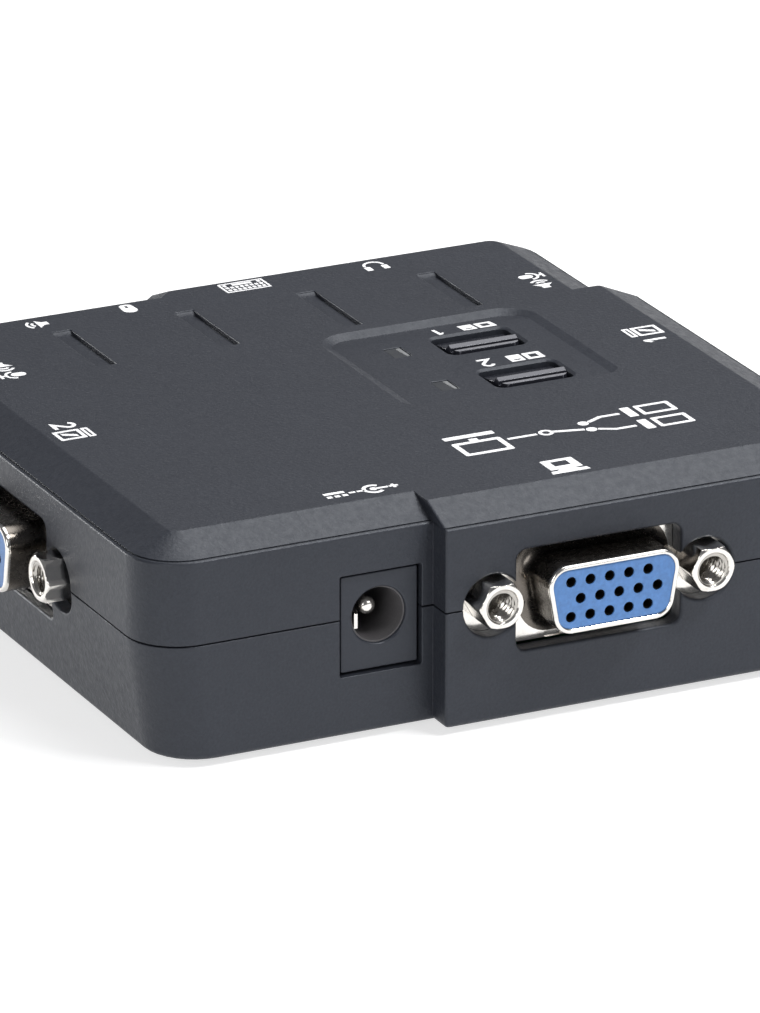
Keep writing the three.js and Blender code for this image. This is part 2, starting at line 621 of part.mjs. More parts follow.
const inlet = wallGroup({ ...DC, turn: 0 }, DC.z);
addMesh('power_inlet_housing', dcHousing(), 'case', inlet);
addMesh('power_inlet_pin', dcPin(), 'nickel', inlet);
addMesh('power_inlet_spring', dcSpring(), 'nickel', inlet);

for (const site of USBS) {
  const group = wallGroup(site, USB.z);
  addMesh(`${site.name}_usb_shell`, usbShell(), 'nickel', group);
  addMesh(`${site.name}_usb_tongue`, usbTongue(), 'black', group);
}

for (const site of JACKS) {
  const group = wallGroup(site, JACK.z);
  addMesh(`${site.name}_jack_housing`, jackHousing(), 'black', group);
  addMesh(`${site.name}_jack_sleeve`, jackSleeve(), 'nickel', group);
}

BOSSES.forEach(([x, y], i) => addMesh(`case_screw_${i + 1}`, caseScrew(x, y), 'nickel'));

FEET.forEach(([x, y], i) => {
  addMesh(`foot_${i + 1}`, prism(circle(FOOT.radius, 16, x, y), 0, BOTTOM_Z + FOOT.sunk - SLIT), 'rubber');
});

for (const { name, x, y, sizeX, sizeY, height, slot } of CHIPS) {
  const bottom = BOARD.topZ + SLIT;
  addMesh(name, prism(rectangle(sizeX / 2, sizeY / 2, 0, x, y), bottom, bottom + height), slot);
}
for (const { name, x, y } of CAPACITORS) {
  const bottom = BOARD.topZ + SLIT;
  addMesh(name, prism(circle(CAPACITOR.radius, 20, x, y), bottom, bottom + CAPACITOR.height), 'nickel');
}

export default root;
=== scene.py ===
"""Blender model of a small two-computer KVM switch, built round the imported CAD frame.

Lengths are millimetres unless a name says otherwise, and each mesh is scaled to metres when it is made.
-Y is the side with the power inlet and the console display socket, +Y is the user's side, +X is the
side of computer 1 and -X is the side of computer 2.
"""

import math

import bmesh
import bpy
from mathutils import Matrix, Vector
from mathutils.geometry import tessellate_polygon


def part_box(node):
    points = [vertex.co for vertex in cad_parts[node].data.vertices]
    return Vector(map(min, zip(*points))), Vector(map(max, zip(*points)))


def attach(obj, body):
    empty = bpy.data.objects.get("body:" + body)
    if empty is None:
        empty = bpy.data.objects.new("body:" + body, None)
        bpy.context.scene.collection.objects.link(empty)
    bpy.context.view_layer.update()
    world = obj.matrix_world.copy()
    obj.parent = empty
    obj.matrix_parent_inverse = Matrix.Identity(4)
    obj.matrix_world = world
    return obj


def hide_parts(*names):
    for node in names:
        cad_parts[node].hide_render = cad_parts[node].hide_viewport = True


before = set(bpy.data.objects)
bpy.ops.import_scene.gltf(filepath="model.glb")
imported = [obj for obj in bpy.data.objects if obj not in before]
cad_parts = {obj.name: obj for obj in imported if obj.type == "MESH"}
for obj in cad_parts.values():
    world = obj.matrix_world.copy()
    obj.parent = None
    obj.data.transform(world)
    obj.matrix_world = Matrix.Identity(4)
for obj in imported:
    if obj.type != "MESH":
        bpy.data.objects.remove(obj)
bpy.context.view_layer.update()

MM = 0.001  # one millimetre in metres

# ---------------------------------------------------------------- camera

CAMERA_AT = Vector((-401.30, -830.64, 358.43))
CAMERA_BACK = Vector((-0.4084, -0.8421, 0.3523))
CAMERA_LENS = 319.6
CAMERA_SENSOR = 36.0

camera_data = bpy.data.cameras.new("camera")
camera_data.lens = CAMERA_LENS
camera_data.sensor_width = CAMERA_SENSOR
camera_data.clip_start = 0.05
camera_data.clip_end = 20
camera = bpy.data.objects.new("camera", camera_data)
camera.location = CAMERA_AT * MM
camera.rotation_mode = "QUATERNION"
camera.rotation_quaternion = (-CAMERA_BACK).to_track_quat("-Z", "Y")
bpy.context.collection.objects.link(camera)
bpy.context.scene.camera = camera
bpy.context.scene.view_settings.view_transform = "Standard"

# ---------------------------------------------------------------- dimensions


def box_mm(node):
    """Lowest and highest corner of a CAD node at rest."""
    lo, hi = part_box(node)
    return Vector(lo) / MM, Vector(hi) / MM


TOP_LO, TOP_HI = box_mm("top_cover")
LOW_LO, LOW_HI = box_mm("bottom_cover")

LIP_INSET, LIP_HEIGHT = 1.4, 1.4  # tongue of the lower cover inside the upper one
SEAM_Z = LOW_HI.z - LIP_HEIGHT
TOP_Z = TOP_HI.z
BOTTOM_Z = LOW_LO.z
SIDE_X = TOP_HI.x
FRONT_Y = TOP_LO.y
BACK_Y = TOP_HI.y

WALL = 2.0
PLAY, SLIT = 0.3, 0.1  # between neighbouring pieces, and between the pieces of one connector
BEVEL_WIDTH = 4.7
BEVEL_Z = TOP_Z - 1.99  # lower edge of the sloping border
CORNER_RADIUS = 6.0
SIDE_DRAFT = 1.9  # the lower cover's side walls lean in by this much at the bottom
FRONT_STEP_X, FRONT_STEP = -9.82, 3.05
RIGHT_STEP_Y, RIGHT_STEP = 18.575, 3.5
BACK_STEP_X, BACK_STEP = -8.05, 1.6
LEFT_STEP_Y, LEFT_STEP = 17.8, 2.4
STEP_EDGE, STEP_FOOT = 0.3, 0.06  # rounding of the steps' upright edges and inner corners
CEILING_INSET = 6.0

SEAM_GAP = 0.16
SEAM_EDGE = 0.1
BEVEL_EDGE = 0.28
# fine groove along the lower edge of the sloping border
LINE_START, LINE_END, LINE_DEPTH, LINE_EDGE = 0.3, 0.52, 0.15, 0.03
TOP_EDGE = 0.8
BOTTOM_EDGE = 0.7

BOSSES = [(-28.5, -24.5), (29.5, -26.5), (-31.8, 29.2), (29.5, 31)]
BOSS_TOP_RADIUS, BOSS_LOW_RADIUS = 3.4, 4.0
PILOT_RADIUS, PILOT_DEPTH, CLEAR_RADIUS = 1.6, 10.0, 1.7
SCREW_SEAT_RADIUS, SCREW_SEAT_TOP = 2.75, BOTTOM_Z + 3.2
FOOT_RADIUS, FOOT_SUNK = 3.8, 0.7

GROOVE_X, GROOVE_PITCH, GROOVE_Y = -22.8, 15.0, 24.7
GROOVE_WIDTH, GROOVE_LENGTH, GROOVE_DEPTH = 2.3, 12.4, 0.5
GROOVE_RAMP = 0.75  # run of the sloping end of a groove
RIM_EDGE = 0.12

POCKET_X, POCKET_Y, POCKET_DEPTH = (1.0, 27.4), (-7.9, 16.7), 0.33
POCKET_NEAR_RADIUS, POCKET_FAR_RADIUS = 1.8, 4.0
POCKET_SIDE_RUN, POCKET_NEAR_RUN, POCKET_FAR_RUN = 1.2, 0.4, 1.15
DIP_Y, DIP_DEPTH = (12.4, 15.2), 0.58  # the floor dips towards the pocket's end behind the buttons
FLOOR_Z = TOP_Z - POCKET_DEPTH

HOLE_HALF = (4.68, 2.98)  # opening round a button, inside its chamfer
HOLE_RADIUS, HOLE_CHAMFER = 1.0, (0.34, 0.2)
LENS_HALF, LENS_AHEAD, LENS_DROP, LENS_PLAY = (1.0, 1.5), 0.35, 0.09, 0.05

COMPUTERS = ("pc1", "pc2")

# ---------------------------------------------------------------- outlines


def rounded(corners, steps=6, closed=True):
    """Outline through corners (x, y, radius), anticlockwise, with an arc where there is a radius."""
    outline = []
    for i, (x, y, radius) in enumerate(corners):
        corner = Vector((x, y))
        if radius == 0 or (not closed and i in (0, len(corners) - 1)):
            outline.append(corner)
            continue
        before = (Vector(corners[i - 1][:2]) - corner).normalized()
        after = (Vector(corners[(i + 1) % len(corners)][:2]) - corner).normalized()
        half = math.acos(max(-1.0, min(1.0, before.dot(after)))) / 2
        centre = corner + (before + after).normalized() * (radius / math.sin(half))
        start = corner + before * (radius / math.tan(half))
        side = 1 if before.y * after.x > before.x * after.y else -1
        for k in range(steps + 1):
            turn = Matrix.Rotation(side * (math.pi - 2 * half) * k / steps, 2)
            outline.append(centre + turn @ (start - centre))
    return outline


def rectangle(half_x, half_y, radius=0, x=0, y=0, steps=6):
    signs = ((-1, -1), (1, -1), (1, 1), (-1, 1))
    return rounded([(x + sx * half_x, y + sy * half_y, radius) for sx, sy in signs], steps)


def circle(radius, count=32, x=0, y=0):
    turns = [2 * math.pi * k / count for k in range(count)]
    return [Vector((x + radius * math.cos(a), y + radius * math.sin(a))) for a in turns]


def offset(outline, amount):
    """The outline moved outwards by amount, its corners mitred."""
    moved = []
    count = len(outline)
    for i, point in enumerate(outline):
        before = (point - outline[i - 1]).normalized()
        after = (outline[(i + 1) % count] - point).normalized()
        normal_a = Vector((before.y, -before.x))
        normal_b = Vector((after.y, -after.x))
        middle = (normal_a + normal_b).normalized()
        moved.append(point + middle * (amount / max(0.5, middle.dot(normal_a))))
    return moved


def quarter(radius, steps=4):
    """(out, down) along a rounded rim of an opening, from its bore up to its face."""
    turns = [math.pi / 2 * k / steps for k in range(steps + 1)]
    return [(radius * (1 - math.cos(a)), radius * (1 - math.sin(a))) for a in turns]


def case_outline(wall_inset, step_inset, side_inset=0.0):
    """The case seen from above, its walls, step faces and side walls moved in."""
    radius = max(CORNER_RADIUS - wall_inset, 0.3)
    side = SIDE_X - wall_inset - side_inset
    front_recess = FRONT_Y + FRONT_STEP + wall_inset
    back_recess = BACK_Y - BACK_STEP - wall_inset
    return rounded([
        (-side, front_recess, radius),
        (FRONT_STEP_X + step_inset, front_recess, STEP_FOOT),
        (FRONT_STEP_X + step_inset, FRONT_Y + wall_inset, STEP_EDGE),
        (side, FRONT_Y + wall_inset, radius),
        (side, RIGHT_STEP_Y - step_inset, STEP_EDGE),
        (side - RIGHT_STEP, RIGHT_STEP_Y - step_inset, STEP_FOOT),
        (side - RIGHT_STEP, BACK_Y - wall_inset, radius),
        (BACK_STEP_X + BACK_STEP + step_inset, BACK_Y - wall_inset, STEP_EDGE),
        (BACK_STEP_X + step_inset, back_recess, STEP_FOOT),
        (LEFT_STEP - side, back_recess, radius),
        (LEFT_STEP - side, LEFT_STEP_Y - step_inset, STEP_FOOT),
        (-side, LEFT_STEP_Y - step_inset, STEP_EDGE),
    ], 8)


# ---------------------------------------------------------------- meshes


def at_height(outline, z):
    return [Vector((p.x, p.y, z)) for p in outline]


def loft(rings, bm=None):
    """Closed skin through rings of equal numbers of points, added to bm."""
    bm = bm or bmesh.new()
    rows = [[bm.verts.new(point) for point in ring] for ring in rings]
    count = len(rows[0])
    for low, high in zip(rows, rows[1:]):
        for k in range(count):
            n = (k + 1) % count
            bm.faces.new((low[k], low[n], high[n], high[k]))
    bm.faces.new(reversed(rows[0]))
    bm.faces.new(rows[-1])
    return bm


def prism(outline, from_z, to_z, edge=0.0):
    """Prism on an outline, the edges of its two ends rounded by edge."""
    if edge == 0:
        return loft([at_height(outline, from_z), at_height(outline, to_z)])
    low = [(down, out) for out, down in quarter(edge)]
    high = quarter(edge)
    rings = [at_height(offset(outline, -inset), from_z + up) for inset, up in low]
    rings += [at_height(offset(outline, -inset), to_z - down) for inset, down in high]
    return loft(rings)


def flared(outline, bottom_z, face_z, rim, beyond=1.0):
    """Cutter for an opening whose mouth at face_z is rounded by rim, reaching beyond the face."""
    rings = [at_height(outline, bottom_z)]
    rings += [at_height(offset(outline, out), face_z - down) for out, down in quarter(rim)]
    rings.append(at_height(offset(outline, rim), face_z + beyond))
    return loft(rings)


def piece(name, bm, place=None, smooth_angle=40.0):
    """Turns a mesh in millimetres into an object, with smooth rounded edges and crisp corners."""
    if place is not None:
        bmesh.ops.transform(bm, matrix=place, verts=bm.verts)
    bmesh.ops.scale(bm, vec=(MM, MM, MM), verts=bm.verts)
    mesh = bpy.data.meshes.new(name)
    bm.to_mesh(mesh)
    bm.free()
    obj = bpy.data.objects.new(name, mesh)
    bpy.context.collection.objects.link(obj)
    shade(obj, smooth_angle)
    return obj


def shade(obj, smooth_angle=40.0):
    mesh = obj.data
    mesh.shade_smooth()
    mesh.set_sharp_from_angle(angle=math.radians(smooth_angle))


def boolean(obj, operation, bm, place=None):
    """Cuts or joins a mesh in millimetres from or to obj, and keeps the result as obj's mesh."""
    tool = piece(obj.name + "_tool", bm, place)
    modifier = obj.modifiers.new("boolean", "BOOLEAN")
    modifier.operation = operation
    modifier.solver = "MANIFOLD"
    modifier.object = tool
    graph = bpy.context.evaluated_depsgraph_get()
    result = bpy.data.meshes.new_from_object(obj.evaluated_get(graph))
    obj.modifiers.clear()
    old = obj.data
    obj.data = result
    bpy.data.meshes.remove(old)
    bpy.data.objects.remove(tool)
    shade(obj)


def weighted(obj):
    """The piece, with flat faces that shade flat and rounded edges that shade round."""
    modifier = obj.modifiers.new("weighted_normals", "WEIGHTED_NORMAL")
    modifier.keep_sharp = True
    modifier.weight = 100
    return obj


def site_of(node, turn, reach):
    """Place of a socket: x right, y up and z out of the wall, from a node that stands reach proud."""
    angle = math.radians(turn)
    right = Vector((math.cos(angle), math.sin(angle), 0))
    out = Vector((math.sin(angle), -math.cos(angle), 0))
    lo, hi = box_mm(node)
    half = (hi - lo) / 2
    proud = abs(out.x) * half.x + abs(out.y) * half.y
    origin = (lo + hi) / 2 + out * (proud - reach)
    place = Matrix.Identity(4)
    place.col[0][:3] = right
    place.col[1][:3] = (0, 0, 1)
    place.col[2][:3] = out
    place.col[3][:3] = origin
    return place


VIDEO_REACH = 3.6
USB_REACH = 0.35
VIDEO_SITES = {
    "console": site_of("console_video_shell", 0, VIDEO_REACH),
    "pc2": site_of("pc2_video_shell", -90, VIDEO_REACH),
    "pc1": site_of("pc1_video_shell", 90, VIDEO_REACH),
}
USB_SITES = {name: site_of(f"{name}_usb_shell", 180, USB_REACH) for name in ("mouse", "keyboard")}
JACK_SITES = {
    "speaker": site_of("speaker_jack_sleeve", 180, 0),
    "headset": site_of("headset_jack_sleeve", 180, 0),
    "pc1_audio": site_of("pc1_audio_jack_sleeve", 90, 0),
    "pc2_audio": site_of("pc2_audio_jack_sleeve", -90, 0),
}
INLET_FACE_BACK = 0.5
INLET_SITE = site_of("power_inlet_housing", 0, -INLET_FACE_BACK)

# ---------------------------------------------------------------- materials

NOISE_LOW, NOISE_HIGH = 0.3, 0.7  # most of a noise's values lie between these


class Look:
    """A procedural material on a Principled shader, textured in the object's own coordinates."""

    def __init__(self, name, colour, roughness, metallic=0.0, **sockets):
        self.material = bpy.data.materials.new(name)
        self.material.use_nodes = True
        self.tree = self.material.node_tree
        self.shader = self.tree.nodes["Principled BSDF"]
        self.shader.inputs["Base Color"].default_value = (*colour, 1)
        self.shader.inputs["Roughness"].default_value = roughness
        self.shader.inputs["Metallic"].default_value = metallic
        for socket, value in sockets.items():
            self.shader.inputs[socket].default_value = value
        self.colour = colour
        self.roughness = roughness
        self.place = self.tree.nodes.new("ShaderNodeTexCoord").outputs["Object"]
        self.relief = None

    def link(self, source, target):
        self.tree.links.new(source, target)

    def noise(self, size, detail=2.0, stretch=(1, 1, 1), rough=0.5):
        """Noise whose lumps are about size across; a stretch below 1 draws them out that way."""
        place = self.place
        if stretch != (1, 1, 1):
            mapping = self.tree.nodes.new("ShaderNodeMapping")
            mapping.inputs["Scale"].default_value = stretch
            self.link(self.place, mapping.inputs["Vector"])
            place = mapping.outputs["Vector"]
        node = self.tree.nodes.new("ShaderNodeTexNoise")
        node.inputs["Scale"].default_value = 1 / (size * MM)
        node.inputs["Detail"].default_value = detail
        node.inputs["Roughness"].default_value = rough
        self.link(place, node.inputs["Vector"])
        return node.outputs["Fac"]

    def cells(self, size):
        node = self.tree.nodes.new("ShaderNodeTexVoronoi")
        node.inputs["Scale"].default_value = 1 / (size * MM)
        self.link(self.place, node.inputs["Vector"])
        return node.outputs["Distance"]

    def remap(self, value, low, high):
        """Stretches a noise's usual values to run from low to high."""
        node = self.tree.nodes.new("ShaderNodeMapRange")
        node.inputs["From Min"].default_value = NOISE_LOW
        node.inputs["From Max"].default_value = NOISE_HIGH
        node.inputs["To Min"].default_value = low
        node.inputs["To Max"].default_value = high
        self.link(value, node.inputs["Value"])
        return node.outputs["Result"]

    def tint(self, value, dark, light):
        """Multiplies the colour so far by dark where value is low and by light where it is high."""
        node = self.tree.nodes.new("ShaderNodeMix")
        node.data_type = "RGBA"
        node.blend_type = "MULTIPLY"
        node.inputs["Factor"].default_value = 1
        socket = self.shader.inputs["Base Color"]
        colour_in, shade_in = node.inputs[6], node.inputs[7]
        if socket.is_linked:
            self.link(socket.links[0].from_socket, colour_in)
        else:
            colour_in.default_value = (*self.colour, 1)
        self.link(self.remap(value, dark, light), shade_in)
        self.link(node.outputs[2], socket)
        return self

    def gloss(self, value, spread):
        """Varies the roughness by spread either way."""
        low, high = self.roughness - spread, self.roughness + spread
        self.link(self.remap(value, low, high), self.shader.inputs["Roughness"])
        return self

    def bump(self, value, depth):
        node = self.tree.nodes.new("ShaderNodeBump")
        node.inputs["Distance"].default_value = depth * MM
        self.link(value, node.inputs["Height"])
        if self.relief is not None:
            self.link(self.relief, node.inputs["Normal"])
        self.relief = node.outputs["Normal"]
        self.link(self.relief, self.shader.inputs["Normal"])
        return self


def moulded(name, colour, roughness, grain, depth, speckle=0.12, **sockets):
    """Moulded plastic with a spark-eroded grain and a slight unevenness of colour."""
    look = Look(name, colour, roughness, **sockets)
    fine = look.noise(grain, 3.0, rough=0.6)
    broad = look.noise(14, 2.0)
    look.tint(broad, 0.96, 1.04)
    look.tint(fine, 1 - speckle, 1 + speckle)
    look.gloss(look.noise(grain * 2.5, 2.0), 0.06)
    look.bump(look.cells(grain * 1.6), depth * 0.6)
    return look.bump(fine, depth)


def plated(name, colour, roughness, stretch=(1, 1, 0.15)):
    """Plated metal with faint drawing marks, a little haze and small dents."""
    look = Look(name, colour, roughness, metallic=1.0)
    look.tint(look.noise(2.5, 4.0), 0.88, 1.06)
    look.tint(look.noise(0.25, 3.0), 0.95, 1.03)
    look.gloss(look.noise(0.8, 4.0), 0.05)
    look.bump(look.noise(0.12, 2.0, stretch), 0.0012)
    return look.bump(look.noise(1.6, 1.0), 0.012)


CASE_GREY = (0.0225, 0.0250, 0.0325)
COOL_SHEEN = {"Specular Tint": (0.90, 0.94, 1.0, 1), "Specular IOR Level": 0.38}
SATIN_SHEEN = {"Specular Tint": (0.91, 0.92, 1.0, 1), "Specular IOR Level": 0.62}
LOOKS = {
    "case": moulded("abs_case", CASE_GREY, 0.45, 0.3, 0.03, 0.14, **COOL_SHEEN),
    "smooth": moulded("abs_smooth", CASE_GREY, 0.42, 0.22, 0.004, 0.1, **COOL_SHEEN),
    # lighter grey lining of the power inlet's bore: painted light inside the bore
    "liner": moulded("painted_light_liner", (0.075, 0.072, 0.075), 0.4, 0.3, 0.004, 0.08),
    "button": moulded("button_plastic", (0.016, 0.017, 0.023), 0.22, 0.3, 0.002, 0.05, **SATIN_SHEEN),
    "black": moulded("black_nylon", (0.012, 0.012, 0.0135), 0.42, 0.2, 0.006, 0.1),
    "blue": moulded("blue_plastic", (0.068, 0.178, 0.415), 0.38, 0.5, 0.006, 0.12),
    "rubber": moulded("foot_rubber", (0.013, 0.013, 0.014), 0.8, 0.25, 0.02, 0.15),
    "chip": moulded("chip_epoxy", (0.016, 0.016, 0.018), 0.55, 0.12, 0.006, 0.12),
    "lens": moulded("smoked_lens", (0.030, 0.033, 0.038), 0.4, 0.6, 0.002, 0.04),
    # light grey strip at the right edge of each lamp window: a painted highlight
    "highlight_strip": moulded("painted_highlight_pipe", (0.19, 0.195, 0.20), 0.5, 0.2, 0.01, 0.1),
    "board": moulded("solder_mask", (0.012, 0.085, 0.038), 0.3, 0.5, 0.01, 0.08),
    "print": moulded("white_print", (0.86, 0.86, 0.87), 0.55, 0.12, 0.004, 0.03),
    "nickel": plated("bright_nickel", (0.80, 0.775, 0.735), 0.16),
    "steel": plated("zinc_steel", (0.62, 0.62, 0.62), 0.26),
    "contact": plated("gold_plate", (0.85, 0.60, 0.26), 0.22),
    # dark brownish nickel of the display sockets' collars: painted shade and dark reflection on a shell that
    # is bright nickel
    "painted_shade_nickel": plated("painted_shade_nickel", (0.15, 0.135, 0.12), 0.27, (0.12, 1, 1)),
    "thread": plated("cut_thread", (0.45, 0.43, 0.40), 0.2),
    # near-black contact metal: painted shade in the holes of the display sockets' inserts
    "painted_shade_metal": plated("painted_shade_contact", (0.018, 0.017, 0.017), 0.5),
}


def dress(obj, look, body="case", nodes=()):
    """Gives a piece its material and body, and hides the CAD nodes it stands for."""
    obj.data.materials.clear()
    obj.data.materials.append(LOOKS[look].material)
    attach(obj, body)
    if nodes:
        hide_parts(*nodes)


# ---------------------------------------------------------------- covers

VIDEO_SPACING = 12.55  # from a display socket's middle to each screw lock
WINDOW_HALF = (9.8, 5.7)
LOBE_RADIUS = 3.5
FLANGE_HALF = (15.4, 6.2)
INLET_HALF = (4.65, 5.55)
USB_HALF = (6.55, 2.85)
JACK_RADIUS, JACK_BLOCK = 3.0, 3.2
JACK_PLAY = 0.2
VIDEO_MOUTH, INLET_MOUTH, USB_MOUTH, JACK_MOUTH = 0.35, 0.12, 0.2, 0.25  # rounding of the openings
CUT_DEPTH = 3.0


def video_window():
    """Rectangle with a round lobe at each end, centred on the seam."""
    half_x, half_z = WINDOW_HALF
    corner = 1.2
    meet = math.acos((half_x - VIDEO_SPACING) / LOBE_RADIUS)
    arc = [-meet + 2 * meet * k / 24 for k in range(25)]
    right = [(VIDEO_SPACING + LOBE_RADIUS * math.cos(a), LOBE_RADIUS * math.sin(a), 0) for a in arc]
    left = [(-x, -z, 0) for x, z, _ in right]
    return rounded([(-half_x, -half_z, corner), (half_x, -half_z, corner), *right,
                    (half_x, half_z, corner), (-half_x, half_z, corner), *left])


def lean(bm):
    """Bends a cutter, already in place, to follow the drafted side walls of the lower cover."""
    for vert in bm.verts:
        below = max(0.0, SEAM_Z - vert.co.z) / (SEAM_Z - BOTTOM_Z)
        vert.co.x -= math.copysign(SIDE_DRAFT * below, vert.co.x)


def at_bosses(radius, low, high, count=32):
    """An upright cylinder at each case screw."""
    return [prism(circle(radius, count, x, y), low, high) for x, y in BOSSES]


def placed(bm, place, leaning=False):
    bmesh.ops.transform(bm, matrix=place, verts=bm.verts)
    if leaning:
        lean(bm)
    return bm


def merged(parts):
    """One mesh of several meshes that don't touch."""
    whole = bmesh.new()
    for bm in parts:
        mesh = bpy.data.meshes.new("part")
        bm.to_mesh(mesh)
        bm.free()
        whole.from_mesh(mesh)
        bpy.data.meshes.remove(mesh)
    return whole


def wall_openings():
    """The openings in the walls of both covers, their mouths slightly rounded."""
    parts = []
    for name, place in VIDEO_SITES.items():
        shift = SEAM_Z - place.translation.z
        window = [p + Vector((0, shift)) for p in video_window()]
        parts.append(placed(flared(window, -CUT_DEPTH, 0, VIDEO_MOUTH), place, name != "console"))
    hole = [half + PLAY / 2 for half in INLET_HALF]
    parts.append(placed(flared(rectangle(*hole, 0.25), -CUT_DEPTH, 0, INLET_MOUTH), INLET_SITE))
    for place in USB_SITES.values():
        hole = [half + PLAY for half in USB_HALF]
        parts.append(placed(flared(rectangle(*hole, 0.5), -CUT_DEPTH, 0, USB_MOUTH), place))
    for name, place in JACK_SITES.items():
        hole = circle(JACK_RADIUS + JACK_PLAY)
        parts.append(placed(flared(hole, -CUT_DEPTH, 0, JACK_MOUTH), place, "pc" in name))
    return merged(parts)


def connector_rooms():
    """Room behind the walls for the display sockets' flanges and the audio sockets' blocks."""
    parts = []
    for place in VIDEO_SITES.values():
        outline = rectangle(FLANGE_HALF[0] + PLAY, FLANGE_HALF[1] + PLAY)
        parts.append(placed(prism(outline, -2 * WALL, -WALL), place))
    for place in JACK_SITES.values():
        outline = rectangle(JACK_BLOCK + PLAY, JACK_BLOCK + PLAY)
        parts.append(placed(prism(outline, -2 * WALL, -WALL), place))
    return merged(parts)


def groove_cutter(x):
    """Cutter for a groove with upright sides, its end towards the user sloping up to the top face."""
    half_x, half_y = GROOVE_WIDTH / 2, GROOVE_LENGTH / 2
    rim = rectangle(half_x, half_y, 0.15, x, GROOVE_Y)
    bed = rectangle(half_x, half_y - GROOVE_RAMP / 2, 0.15, x, GROOVE_Y - GROOVE_RAMP / 2)
    rings = [at_height(bed, TOP_Z - GROOVE_DEPTH)]
    rings += [at_height(offset(rim, out), TOP_Z - down) for out, down in quarter(RIM_EDGE)]
    rings.append(at_height(offset(rim, RIM_EDGE), TOP_Z + 1))
    return loft(rings)


def pocket_depth(y):
    """Depth of the pocket's floor below the top face."""
    along = (y - DIP_Y[0]) / (DIP_Y[1] - DIP_Y[0])
    return POCKET_DEPTH + (DIP_DEPTH - POCKET_DEPTH) * max(0.0, min(1.0, along))


def pocket_cutter():
    """Cutter for the pocket round the buttons, with sloping sides that blend in at both edges."""
    def plan(side, near, far):
        near_radius, far_radius = POCKET_NEAR_RADIUS - side, POCKET_FAR_RADIUS - side
        x0, x1 = POCKET_X[0] + side, POCKET_X[1] - side
        y0, y1 = POCKET_Y[0] + near, POCKET_Y[1] - far
        return rounded([(x0, y0, near_radius), (x1, y0, near_radius),
                        (x1, y1, far_radius), (x0, y1, far_radius)], 10)

    rim = plan(0, 0, 0)
    bed = plan(POCKET_SIDE_RUN, POCKET_NEAR_RUN, POCKET_FAR_RUN)
    rings = []
    for part, rise in ((0, 0), (0.06, 0.02), (0.14, 0.09), (0.88, 0.92), (0.95, 0.985), (1.0, 1.0)):
        outline = [low.lerp(high, part) for low, high in zip(bed, rim)]
        rings.append(at_height(outline, FLOOR_Z + POCKET_DEPTH * rise))
    rings.append(at_height(rim, TOP_Z + 1))
    bm = loft(rings)
    for y in DIP_Y:
        geometry = [*bm.verts, *bm.edges, *bm.faces]
        bmesh.ops.bisect_plane(bm, geom=geometry, plane_co=(0, y, 0), plane_no=(0, 1, 0))
    for vert in bm.verts:
        below = TOP_Z - vert.co.z
        if below > 0:
            vert.co.z = TOP_Z - below * pocket_depth(vert.co.y) / POCKET_DEPTH
    return bm


def cover(name, profile, drafted):
    """A cover from a profile of (inset, height, inset of the step faces)."""
    rings = []
    for inset, z, step in profile:
        below = max(0.0, SEAM_Z - z) / (SEAM_Z - BOTTOM_Z)
        rings.append(at_height(case_outline(inset, step, SIDE_DRAFT * below if drafted else 0), z))
    return piece(name, loft(rings))


def on_border(along, below):
    """(inset, z) of a point along the sloping border from its lower edge, and below its surface."""
    slope = Vector((BEVEL_WIDTH, TOP_Z - BEVEL_Z)).normalized()
    return slope.x * along + slope.y * below, BEVEL_Z + slope.y * along - slope.x * below


top_rim = SEAM_Z + SEAM_GAP / 2
rebate = LIP_INSET - PLAY
rebate_z = SEAM_Z + LIP_HEIGHT + PLAY
inner_path = [(CEILING_INSET, TOP_Z - WALL, WALL), (WALL, BEVEL_Z - WALL, WALL), (WALL, rebate_z, WALL),
              (rebate, rebate_z, rebate), (rebate, top_rim, rebate)]
line = [on_border(LINE_START, 0), on_border(LINE_START, LINE_DEPTH),
        on_border(LINE_END, LINE_DEPTH), on_border(LINE_END, 0)]
outer_path = rounded([(rebate, top_rim, 0), (0, top_rim, SEAM_EDGE), (0, BEVEL_Z, BEVEL_EDGE),
                      *[(inset, z, LINE_EDGE) for inset, z in line],
                      (BEVEL_WIDTH, TOP_Z, TOP_EDGE), (BEVEL_WIDTH + 2, TOP_Z, 0)], 5, closed=False)[1:]
outer_path = [(inset, z, inset if z < SEAM_Z + 1 else 0) for inset, z in outer_path]
top_shell = cover("top_shell", inner_path + outer_path, False)

low_rim = SEAM_Z - SEAM_GAP / 2
low_path = rounded([(3, BOTTOM_Z, 0), (0, BOTTOM_Z, BOTTOM_EDGE), (0, low_rim, SEAM_EDGE),
                    (LIP_INSET, low_rim, 0), (LIP_INSET, SEAM_Z + LIP_HEIGHT, 0),
                    (WALL, SEAM_Z + LIP_HEIGHT, 0), (WALL, BOTTOM_Z + WALL, 0)], 5, closed=False)
bottom_shell = cover("bottom_shell", [(inset, z, inset) for inset, z in low_path], True)

board_lo, board_hi = box_mm("main_board")
pillar_bottom = board_hi.z + SLIT
pillars = at_bosses(BOSS_TOP_RADIUS, pillar_bottom, TOP_Z - 0.8 * WALL)
boolean(top_shell, "UNION", merged(pillars))
pillars = at_bosses(BOSS_LOW_RADIUS, BOTTOM_Z + WALL / 2, board_lo.z - SLIT)
boolean(bottom_shell, "UNION", merged(pillars))

for shell in (top_shell, bottom_shell):
    boolean(shell, "DIFFERENCE", wall_openings())
    boolean(shell, "DIFFERENCE", connector_rooms())

button_lo, button_hi = box_mm("pc1_button")
BUTTON_Y = {name: sum(corner.y for corner in box_mm(f"{name}_button")) / 2 for name in COMPUTERS}
BUTTON_X = (button_lo.x + button_hi.x) / 2
lens_lo, lens_hi = box_mm("pc1_lamp_lens")
LENS_X = (lens_lo.x + lens_hi.x) / 2

